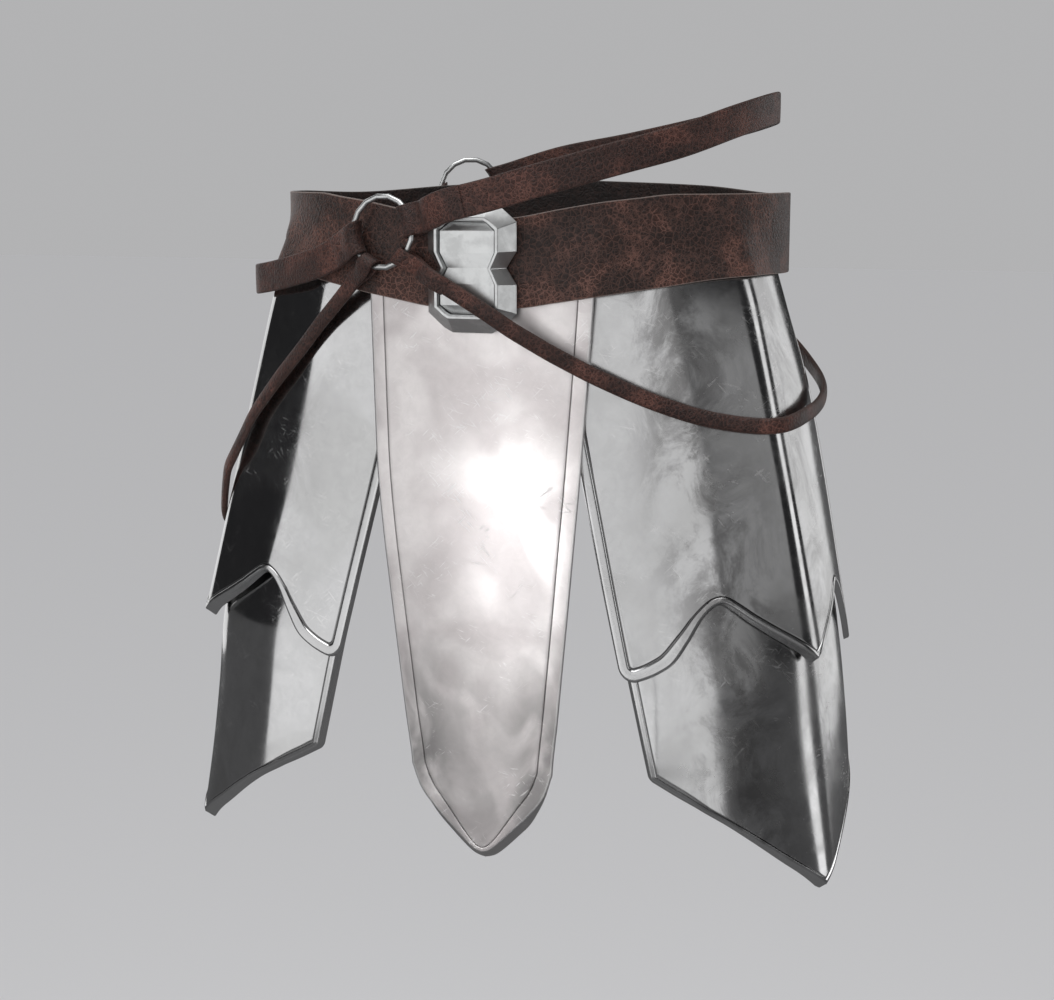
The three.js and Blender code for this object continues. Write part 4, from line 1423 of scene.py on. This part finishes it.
class Graph:
    """A node tree with short ways to add nodes and join them.

    A value is a number or another node's output. A colour is red, green and blue or such an output.
    """

    def __init__(self, tree: bpy.types.NodeTree) -> None:
        """Takes the tree that nodes are added to."""
        self.tree = tree

    def feed(self, node: bpy.types.Node, inputs: Inputs) -> None:
        """Sets a node's sockets or joins them to other nodes.

        Args:
            node: the node.
            inputs: what each named or numbered socket gets.
        """
        for key, value in inputs.items():
            if isinstance(value, bpy.types.NodeSocket):
                self.tree.links.new(value, node.inputs[key])
            else:
                node.inputs[key].default_value = value

    def add(self, kind: str, inputs: Inputs | None = None, **settings: object) -> bpy.types.Node:
        """Adds a node.

        Args:
            kind: the node's type.
            inputs: what each named or numbered socket gets.
            **settings: the node's own settings.

        Returns:
            The node.
        """
        node = self.tree.nodes.new(kind)
        for key, value in settings.items():
            setattr(node, key, value)
        self.feed(node, inputs or {})
        return node

    def effect(self, name: str, **values: float) -> bpy.types.NodeOutputs:
        """Places one of the shared effects with its own values, and returns its outputs."""
        return self.add("ShaderNodeGroup", values, node_tree=bpy.data.node_groups[name]).outputs

    def math(self, operation: str, a: Value, b: Value, clamp: bool = False) -> bpy.types.NodeSocket:
        """Works out one value from two."""
        return self.add("ShaderNodeMath", {0: a, 1: b}, operation=operation, use_clamp=clamp).outputs[0]

    def times(self, a: Value, b: Value, clamp: bool = False) -> bpy.types.NodeSocket:
        """Multiplies two values."""
        return self.math("MULTIPLY", a, b, clamp)

    def plus(self, a: Value, b: Value) -> bpy.types.NodeSocket:
        """Adds two values."""
        return self.math("ADD", a, b)

    def ramp(
        self, value: Value, start: tuple[Value, Value], end: tuple[Value, Value]
    ) -> bpy.types.NodeSocket:
        """Eases a value from one stop to another.

        Args:
            value: the value.
            start: the value and the result where the ramp starts.
            end: the value and the result where it ends.

        Returns:
            The result.
        """
        stops = {"From Min": start[0], "To Min": start[1], "From Max": end[0], "To Max": end[1]}
        node = self.add("ShaderNodeMapRange", {"Value": value, **stops}, interpolation_type="SMOOTHSTEP")
        return node.outputs["Result"]

    def mix(self, share: Value, a: Paint, b: Paint, blend: str = "MIX") -> bpy.types.NodeSocket:
        """Lays a share of one colour over another.

        Args:
            share: the share, from 0 to 1.
            a: the colour below.
            b: the colour that is laid over it.
            blend: how they blend.

        Returns:
            The colour that results.
        """
        a, b = (each if isinstance(each, bpy.types.NodeSocket) else (*each, 1.0) for each in (a, b))
        node = self.add("ShaderNodeMix", {0: share, 6: a, 7: b}, data_type="RGBA", blend_type=blend)
        return node.outputs[2]

    def toned(self, colour: Paint, tone: Value) -> bpy.types.NodeSocket:
        """Makes a colour darker or lighter by a value."""
        grey = self.add("ShaderNodeCombineColor", {0: tone, 1: tone, 2: tone}).outputs[0]
        return self.mix(1.0, colour, grey, "MULTIPLY")

    def where(self) -> bpy.types.NodeSocket:
        """Places on the object."""
        return self.add("ShaderNodeTexCoord").outputs["Object"]

    def stretched(self, scale: Triple, turn: Triple = (0, 0, 0)) -> bpy.types.NodeSocket:
        """Places on the object, turned and then scaled.

        Args:
            scale: scale along each axis.
            turn: turn about each axis, in radians.

        Returns:
            The places.
        """
        inputs = {0: self.where(), 2: turn, 3: tuple(1 / along for along in scale)}
        return self.add("ShaderNodeMapping", inputs, vector_type="TEXTURE").outputs[0]

    def noise(
        self, where: Value, scale: Value, detail: float, roughness: Value = 0.5, distortion: float = 0.0
    ) -> bpy.types.NodeSocket:
        """Adds a noise texture.

        Args:
            where: places on the object.
            scale: its scale.
            detail: how many layers of finer noise it has.
            roughness: how strong the finer layers are.
            distortion: how far it is swirled.

        Returns:
            Its value.
        """
        inputs = {"Vector": where, "Scale": scale, "Detail": detail, "Roughness": roughness}
        return self.add("ShaderNodeTexNoise", {**inputs, "Distortion": distortion}).outputs["Fac"]

    def mark(self, name: str) -> bpy.types.NodeSocket:
        """Reads a number kept on the mesh."""
        return self.add("ShaderNodeAttribute", attribute_name=name).outputs["Fac"]

    def relief(self, height: Value, strength: float) -> bpy.types.NodeSocket:
        """Turns a height in millimetres into a bumpy normal."""
        bump = self.add("ShaderNodeBump", {"Height": height, "Strength": strength, "Distance": MM})
        return bump.outputs[0]


def new_group(name: str, inputs: dict[str, float], outputs: str) -> tuple[Graph, dict, bpy.types.Node]:
    """Starts a shared effect.

    Args:
        name: its name.
        inputs: its number inputs with their usual values.
        outputs: names of its number outputs.

    Returns:
        The graph, the input sockets by name, and the output node.
    """
    tree = bpy.data.node_groups.new(name, "ShaderNodeTree")
    for key, value in inputs.items():
        socket = tree.interface.new_socket(key, in_out="INPUT", socket_type="NodeSocketFloat")
        socket.default_value = value
    for key in outputs.split():
        tree.interface.new_socket(key, in_out="OUTPUT", socket_type="NodeSocketFloat")
    graph = Graph(tree)
    entry = graph.add("NodeGroupInput")
    return graph, {key: entry.outputs[key] for key in inputs}, graph.add("NodeGroupOutput")


def cloudy_stains() -> None:
    """Soft clouds with ragged borders, as old polish leaves on steel, and swirled patches for painted dark
    reflection.
    """
    g, put, out = new_group(
        "cloudy_stains", {"Scale": 14.0, "Ragged": 0.35, "Grit": 0.7}, "Clouds Fine Smudges"
    )
    wide = g.noise(g.where(), put["Scale"], 3.0, 0.5, 0.8)
    fine = g.noise(g.where(), g.times(put["Scale"], 7.0), 8.0, 0.68, 0.6)
    ragged = g.times(g.math("SUBTRACT", fine, 0.5), put["Ragged"])
    clouds = g.ramp(g.plus(wide, ragged), (0.4, 0.0), (0.66, 1.0))
    swirls = g.noise(g.stretched((1.0, 1.0, 0.7)), 26.0, 10.0, put["Grit"], 0.7)
    # Swirled patches, which the steel uses for painted dark reflection.
    painted_reflection_patches = g.ramp(g.plus(swirls, g.times(ragged, 0.5)), (0.4, 0.0), (0.62, 1.0))
    g.feed(out, {"Clouds": clouds, "Fine": fine, "Smudges": painted_reflection_patches})


def fine_scratches() -> None:
    """Short thin scratches in three directions, gathered in patches."""
    g, put, out = new_group("fine_scratches", {"Density": 0.5}, "Scratches")
    scale, turns = (85, 85, 640), ((0.1, 0.25, 0.0), (-0.1, 0.85, 0.0), (0.1, -0.75, 0.0))
    one_way, other_way, third_way = (
        g.ramp(g.noise(g.stretched(scale, turn), 1.0, 2.0, 0.5, 0.5), (0.62, 0.0), (0.7, 1.0))
        for turn in turns
    )
    lines = g.math("MAXIMUM", g.math("MAXIMUM", one_way, other_way), third_way)
    patches = g.ramp(g.noise(g.where(), 34.0, 5.0, 0.65), (0.5, 0.0), (0.64, 1.0))
    g.feed(out, {"Scratches": g.times(g.times(lines, patches), put["Density"], clamp=True)})


def edge_wear() -> None:
    """A ragged band along the edges, where handling rubs a piece."""
    g, put, out = new_group("edge_wear", {"Width": 1.5, "Ragged": 0.5}, "Wear")
    wobble = g.times(g.noise(g.where(), 130.0, 4.0, 0.6), put["Ragged"])
    reach = g.times(put["Width"], g.plus(wobble, 0.7))
    share = g.math("DIVIDE", g.mark("edge_distance"), reach)
    g.feed(out, {"Wear": g.ramp(share, (1.0, 0.0), (0.35, 1.0))})


def leather_crackle() -> None:
    """Worn leather: mounds of two sizes with cracks between them, pores, and rubbed patches."""
    g, put, out = new_group(
        "leather_crackle", {"Scale": 230.0, "Crack": 0.105}, "Cracks Pebbles Patches Pores"
    )
    where = g.where()
    bend = g.add("ShaderNodeTexNoise", {"Vector": where, "Scale": 150.0, "Detail": 4.0}).outputs["Color"]
    shift = g.add("ShaderNodeVectorMath", {0: bend, 1: (0.5, 0.5, 0.5)}, operation="SUBTRACT").outputs[0]
    small = g.add("ShaderNodeVectorMath", {0: shift, "Scale": 0.0045}, operation="SCALE").outputs[0]
    moved = g.add("ShaderNodeVectorMath", {0: where, 1: small}, operation="ADD").outputs[0]
    nets, mounds = [], []
    for share in (1.0, 0.5):
        inputs = {"Vector": moved, "Scale": g.times(put["Scale"], share)}
        cells = g.add("ShaderNodeTexVoronoi", inputs, feature="DISTANCE_TO_EDGE").outputs["Distance"]
        nets.append(g.math("SUBTRACT", 1.0, g.math("DIVIDE", cells, put["Crack"]), clamp=True))
        mounds.append(g.ramp(cells, (0.0, 0.0), (0.32, 1.0)))
    breaks = g.ramp(g.noise(where, 60.0, 4.0, 0.6), (0.38, 0.2), (0.62, 1.0))
    g.feed(out, {
        "Cracks": g.math("MAXIMUM", nets[1], g.times(nets[0], breaks)),
        "Pebbles": g.plus(g.times(mounds[0], 0.45), g.times(mounds[1], 0.55)),
        "Patches": g.ramp(g.noise(where, 26.0, 5.0, 0.6, 0.4), (0.42, 0.0), (0.66, 1.0)),
        "Pores": g.noise(where, 1100.0, 3.0, 0.6),
    })


def new_material(name: str) -> tuple[bpy.types.Material, Graph, bpy.types.Node]:
    """Starts a material.

    Args:
        name: its name.

    Returns:
        The material, its graph and its shader.
    """
    material = bpy.data.materials.new(name)
    material.use_nodes = True
    return material, Graph(material.node_tree), material.node_tree.nodes["Principled BSDF"]


@dataclass(frozen=True)
class SteelFinish:
    """Polished plate steel with hazy clouds, painted dark reflection, scratches and brighter worn edges.

    polished and dull are the roughness between the clouds and in them. The last five colours are those of
    the painted dark reflection, scratches and worn edges, of the inner side, and of the painted shade in
    the engraved groove.
    """

    name: str
    clean: Colour
    hazy: Colour
    polished: float
    dull: float
    cloud_scale: float
    ragged: float
    grit: float
    waviness: float
    scratched: float
    painted_reflection_strength: float
    rim_roughness: float = 0.2
    inner_roughness: float = 0.42
    worn_width: float = 1.6
    rim_span: tuple[float, float] = (5.2, 6.0)
    # Colour of the painted dark reflection, standing in for dark surroundings mirrored in the steel.
    painted_dark_reflection: Colour = (0.16, 0.155, 0.155)
    scratch: Colour = (0.97, 0.96, 0.96)
    worn: Colour = (0.86, 0.86, 0.86)
    inner: Colour = (0.3, 0.29, 0.29)
    # Colour of the painted shade in the engraved groove, darkest where it is deepest.
    engraved: Colour = (0.05, 0.048, 0.048)

    def make(self) -> bpy.types.Material:
        """Builds the material."""
        material, g, shader = new_material(self.name)
        stains = g.effect("cloudy_stains", Scale=self.cloud_scale, Ragged=self.ragged, Grit=self.grit)
        marks = g.effect("fine_scratches", Density=self.scratched)["Scratches"]
        wear = g.effect("edge_wear", Width=self.worn_width)["Wear"]
        clouds, fine, inside = stains["Clouds"], stains["Fine"], g.mark("back")
        # Painted dark reflection: dark swirled patches along the hip crease, behind the ridge and low on
        # the front plate.
        gathered = g.plus(g.times(g.mark("tarnish"), 0.95), 0.05)
        painted_reflection_patches = g.times(g.times(stains["Smudges"], gathered), self.painted_reflection_strength, clamp=True)

        colour = g.toned(g.mix(clouds, self.clean, self.hazy), g.ramp(fine, (0.3, 0.93), (0.7, 1.03)))
        # Laid over the steel in turn: painted dark reflection, scratches, worn edges, the inner side, and
        # painted shade in the engraved groove.
        for mask, share, over in (
            (painted_reflection_patches, 1.0, self.painted_dark_reflection), (marks, 0.8, self.scratch), (wear, 0.6, self.worn),
            # The groove mask paints shade into the engraved line.
            (inside, 0.55, self.inner), (g.mark("groove"), 0.8, self.engraved),
        ):
            colour = g.mix(g.times(mask, share), colour, over)

        rough = g.ramp(clouds, (0.0, self.polished), (1.0, self.dull))
        for mask, share in ((g.math("SUBTRACT", fine, 0.5), 0.05), (painted_reflection_patches, 0.12), (marks, 0.3)):
            rough = g.plus(rough, g.times(mask, share))
        rim = g.ramp(g.mark("edge_distance"), (self.rim_span[0], 1.0), (self.rim_span[1], 0.0))
        for mask, least in ((inside, self.inner_roughness), (rim, self.rim_roughness)):
            rough = g.math("MAXIMUM", rough, g.times(mask, least))

        waves = g.times(g.noise(g.where(), 11.0, 2.0), self.waviness)
        height = g.math("SUBTRACT", g.plus(waves, g.times(fine, 0.012)), g.times(marks, 0.008))
        g.feed(shader, {
            "Base Color": colour,
            "Metallic": 1.0,
            "Roughness": g.math("MAXIMUM", rough, 0.06, clamp=True),
            "Normal": g.relief(height, 0.5),
        })
        return material


@dataclass(frozen=True)
class CastFinish:
    """Bright satin metal of the buckle and the rings, with darker clouds and a few scratches."""

    name: str
    colour: Colour
    roughness: float
    darker: float = 0.8
    scratch: Colour = (0.95, 0.95, 0.94)

    def make(self) -> bpy.types.Material:
        """Builds the material."""
        material, g, shader = new_material(self.name)
        stains = g.effect("cloudy_stains", Scale=40.0)
        marks = g.effect("fine_scratches")["Scratches"]
        clouded = tuple(self.darker * value for value in self.colour)
        colour = g.mix(stains["Clouds"], self.colour, clouded)
        g.feed(shader, {
            "Base Color": g.mix(g.times(marks, 0.4), colour, self.scratch),
            "Metallic": 1.0,
            "Roughness": g.plus(g.times(stains["Fine"], 0.2), self.roughness - 0.1),
            "Normal": g.relief(g.times(stains["Fine"], 0.03), 0.5),
        })
        return material


@dataclass(frozen=True)
class LeatherFinish:
    """Dark brown crackled leather, rubbed rust-red, with a worn cut edge, cracks lightened partly as
    painted highlight, and painted shade on the inner face.
    """

    name: str
    dark: Colour
    brown: Colour
    # Crack colour: rust, and outside the rubbed patches partly a painted highlight on the crack edges.
    crack: Colour
    edge: Colour
    edge_width: float
    grain: float
    # Near black painted shade for the belt's inner face.
    inner: Colour = (0.006, 0.005, 0.005)

    def make(self) -> bpy.types.Material:
        """Builds the material."""
        material, g, shader = new_material(self.name)
        net = g.effect("leather_crackle", Scale=self.grain)
        wear = g.effect("edge_wear", Width=self.edge_width)["Wear"]
        cracks, patches, pores = net["Cracks"], net["Patches"], net["Pores"]
        colour = g.toned(g.mix(patches, self.dark, self.brown), g.ramp(pores, (0.3, 0.75), (0.7, 1.2)))
        # How much crack colour shows: most in the rubbed patches, where it is rust, and less outside them,
        # where it is partly painted highlight.
        seen = g.ramp(patches, (0.0, 0.35), (1.0, 0.95))
        for mask, share, over in (
            # The back mark paints shade on the inner face.
            (cracks, seen, self.crack), (wear, 0.7, self.edge), (g.mark("back"), 0.75, self.inner),
        ):
            colour = g.mix(g.times(mask, share), colour, over)
        rough = g.plus(g.plus(g.times(pores, 0.2), 0.33), g.times(cracks, 0.12))
        height = g.plus(g.times(net["Pebbles"], 0.42), g.times(pores, 0.05))
        g.feed(shader, {
            "Base Color": colour,
            "Roughness": rough,
            "Normal": g.relief(height, 1.0),
            "Specular IOR Level": 0.36,
            "Sheen Weight": 0.05,
            "Sheen Roughness": 0.4,
        })
        return material


# The studio


def direction_to(azimuth: float, elevation: float) -> Vector:
    """Direction from the armour by angles. Azimuth 0 is straight in front, and 90 on the viewer's right."""
    a, e = math.radians(azimuth), math.radians(elevation)
    return Vector((math.sin(a) * math.cos(e), -math.cos(a) * math.cos(e), math.sin(e)))


@dataclass
class SoftBox:
    """A large soft lamp that faces the armour. Where only names pieces, it lights no others."""

    name: str
    azimuth: float
    elevation: float
    distance: float
    width: float
    height: float
    brightness: float
    aim: float = -0.18
    lights_cloth: bool = True
    only: tuple[str, ...] = ()

    def build(self) -> None:
        """Places the lamp."""
        lamp = bpy.data.lights.new(self.name, "AREA")
        lamp.shape = "RECTANGLE"
        lamp.size, lamp.size_y = self.width, self.height
        lamp.energy = self.brightness * math.pi * self.width * self.height
        holder = put_in_scene(self.name, lamp)
        away = direction_to(self.azimuth, self.elevation)
        holder.location = Vector((0, 0, self.aim)) + away * self.distance
        holder.rotation_euler = away.to_track_quat("Z", "Y").to_euler()
        holder.visible_camera = False
        holder.visible_diffuse = self.lights_cloth
        if self.only:
            lit = bpy.data.collections.new(f"lit_by_{self.name}")
            for name in self.only:
                lit.objects.link(bpy.data.objects[name])
            holder.light_linking.receiver_collection = lit


@dataclass
class Studio:
    """The floor, the lamps, the pale surroundings and the camera.

    floor and air have the colour that is seen and the dimmer one that metal mirrors, so that the
    lamps shape it. backdrop is the air's colour behind the armour.
    """

    floor_height: float = -1.62
    floor_half: float = 30.0
    floor: tuple[Colour, Colour] = ((0.72, 0.72, 0.73), (0.12, 0.12, 0.122))
    air: tuple[Colour, Colour] = ((0.36, 0.36, 0.365), (0.02, 0.02, 0.021))
    backdrop: Colour = (0.448, 0.448, 0.454)
    sun_turn: tuple[float, float] = (14.0, -8.0)
    camera_place: Triple = (0.4130, -1.2912, 0.0502)
    azimuth: float = 18.0
    elevation: float = 10.2
    lens: float = 63.19
    # Each lamp has its azimuth, elevation, distance, width, height and brightness.
    lamps: tuple[SoftBox, ...] = (
        SoftBox("key_lamp", -28, 5, 2.4, 2.8, 2.75, 0.86),
        SoftBox("fill_lamp", 15.5, 5, 2.4, 1.06, 2.75, 0.76),
        SoftBox("dim_lamp", 41, 14, 2.4, 0.64, 2.0, 0.28),
        SoftBox(
            "low_lamp", -6, -12.4, 1.9, 0.72, 0.17, 10.5, lights_cloth=False, only=("front_plate_steel",)
        ),
        SoftBox("right_lamp", 92, 6, 2.2, 0.75, 1.9, 1.2),
        SoftBox("back_right_lamp", 142, 9, 2.3, 1.5, 2.1, 0.85, lights_cloth=False),
        SoftBox("back_left_lamp", -133, 9, 2.3, 2.7, 2.1, 0.85, lights_cloth=False),
        SoftBox("top_lamp", 10, 80, 2.3, 2.4, 2.0, 1.0),
    )

    def build_floor(self) -> None:
        """Lays the plain pale floor."""
        mesh = bpy.data.meshes.new("studio_floor")
        r, h = self.floor_half, self.floor_height
        mesh.from_pydata([(-r, -r, h), (r, -r, h), (r, r, h), (-r, r, h)], [], [(0, 1, 2, 3)])
        material, g, shader = new_material("pale_floor")
        mirrored = g.add("ShaderNodeLightPath").outputs["Is Glossy Ray"]
        g.feed(shader, {"Base Color": g.mix(mirrored, *self.floor), "Roughness": 0.95})
        mesh.materials.append(material)
        put_in_scene("studio_floor", mesh)

    def build_surroundings(self) -> None:
        """Fills the air round the armour with pale light."""
        world = bpy.data.worlds.new("studio")
        world.use_nodes = True
        bpy.context.scene.world = world
        g = Graph(world.node_tree)
        g.tree.nodes.clear()
        path = g.add("ShaderNodeLightPath").outputs
        colour = g.mix(path["Is Camera Ray"], g.mix(path["Is Glossy Ray"], *self.air), self.backdrop)
        background = g.add("ShaderNodeBackground", {"Color": colour, "Strength": 1.0}).outputs[0]
        g.add("ShaderNodeOutputWorld", {"Surface": background})

    def build_camera(self) -> None:
        """Places the camera at the viewing angle of the photograph."""
        data = bpy.data.cameras.new("camera")
        data.sensor_width = 36
        data.lens = self.lens
        camera = put_in_scene("camera", data)
        back = direction_to(self.azimuth, self.elevation)
        camera.location = self.camera_place
        camera.rotation_euler = (-back).to_track_quat("-Z", "Y").to_euler()
        bpy.context.scene.camera = camera

    def build_sun(self) -> None:
        """Adds a very soft sun from above, which lights the floor evenly to its far end."""
        sun = bpy.data.lights.new("soft_sun", "SUN")
        sun.energy = 1.0
        sun.angle = math.radians(50)
        put_in_scene("soft_sun", sun).rotation_euler = (*map(math.radians, self.sun_turn), 0)

    def build(self) -> None:
        """Builds the whole studio, and shows colours plainly."""
        bpy.context.scene.view_settings.view_transform = "Standard"
        self.build_floor()
        self.build_surroundings()
        self.build_camera()
        self.build_sun()
        for lamp in self.lamps:
            lamp.build()


@dataclass
class WaistArmour:
    """The whole armour, built piece by piece over its solids. made lists the pieces."""

    made: list[str] = field(default_factory=list)

    def finish_piece(
        self, piece: bpy.types.Object, node: str, material: bpy.types.Material
    ) -> None:
        """Dresses a piece and lets it stand for its solid.

        Args:
            piece: the piece.
            node: the solid that it replaces.
            material: its material.
        """
        piece.data.materials.append(material)
        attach(piece, "root")
        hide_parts(node)
        self.made.append(piece.name)
        LOG.info("%s stands for %s with %d corners", piece.name, node, len(piece.data.vertices))

    def build_plates(self) -> None:
        """Builds the five steel plates."""
        hip = dict(
            clean=(0.66, 0.66, 0.665), hazy=(0.6, 0.6, 0.6), cloud_scale=13.0, ragged=0.3, grit=0.7,
            scratched=0.4,
        )
        # The right hip's steel gets strong painted dark reflection, the left hip's little.
        hip_finishes = {
            Side.RIGHT: SteelFinish(
                "right_hip_steel", polished=0.15, dull=0.23, waviness=0.06, painted_reflection_strength=0.8, **hip
            ),
            Side.LEFT: SteelFinish(
                "left_hip_steel", polished=0.1, dull=0.15, waviness=0.04, painted_reflection_strength=0.15, **hip
            ),
        }
        front = SteelFinish(
            "front_steel", clean=(0.78, 0.745, 0.74), hazy=(0.64, 0.6, 0.6), polished=0.34, dull=0.4,
            cloud_scale=17.0, ragged=0.06, grit=0.45, waviness=0.1, scratched=0.9, painted_reflection_strength=0.75,
        )
        plate = FRONT_SHAPE.build("front_plate_steel", Side.RIGHT)
        self.finish_piece(plate, "front_plate", front.make())
        for side in Side:
            steel = hip_finishes[side].make()
            for place, shape in (("upper", UPPER_SHAPE), ("lower", LOWER_SHAPE)):
                hip_name = f"{side.name.lower()}_{place}"
                plate = shape.build(f"{hip_name}_plate_steel", side)
                self.finish_piece(plate, f"{hip_name}_tasset", steel)

    def build_leather(self) -> tuple[Ring, Ring]:
        """Builds the belt and the straps, and returns the rings that they hold."""
        belt = LeatherFinish(
            "belt_hide", dark=(0.018, 0.01, 0.0085), brown=(0.044, 0.017, 0.012),
            crack=(0.175, 0.082, 0.062), edge=(0.24, 0.19, 0.17), edge_width=0.9, grain=530.0,
        )
        strap = LeatherFinish(
            "strap_hide", dark=(0.02, 0.01, 0.0085), brown=(0.046, 0.016, 0.0115),
            crack=(0.15, 0.062, 0.046), edge=(0.05, 0.026, 0.021), edge_width=1.2, grain=600.0,
        ).make()
        self.finish_piece(Belt().build("belt_hide_band"), "belt", belt.make())
        rings = (Ring(angle=-26.6, height=7), Ring(angle=-141.9, height=32.4))
        for node, shape in STRAPS.items():
            self.finish_piece(shape.build(f"{node}_hide", rings), node, strap)
        return rings

    def build_castings(self, rings: tuple[Ring, Ring]) -> None:
        """Builds the buckle and the rings."""
        bright = CastFinish("bright_casting", (0.76, 0.77, 0.77), 0.34).make()
        buckle = Buckle()
        for node, build in (("buckle_frame", buckle.build_frame), ("buckle_panel", buckle.build_panel)):
            self.finish_piece(build(f"{node}_casting"), node, bright)
        for node, ring in zip(("front_ring", "back_ring"), rings):
            self.finish_piece(ring.build(f"{node}_wire"), node, bright)

    def build(self) -> None:
        """Builds every piece."""
        for effect in (cloudy_stains, fine_scratches, edge_wear, leather_crackle):
            effect()
        self.build_plates()
        self.build_castings(self.build_leather())
        LOG.info("%d pieces made", len(self.made))


def main() -> None:
    """Builds the armour and the studio."""
    logging.basicConfig(level=logging.INFO, format="%(name)s: %(message)s")
    WaistArmour().build()
    Studio().build()
    bpy.context.view_layer.update()


if __name__ == "__main__":
    main()
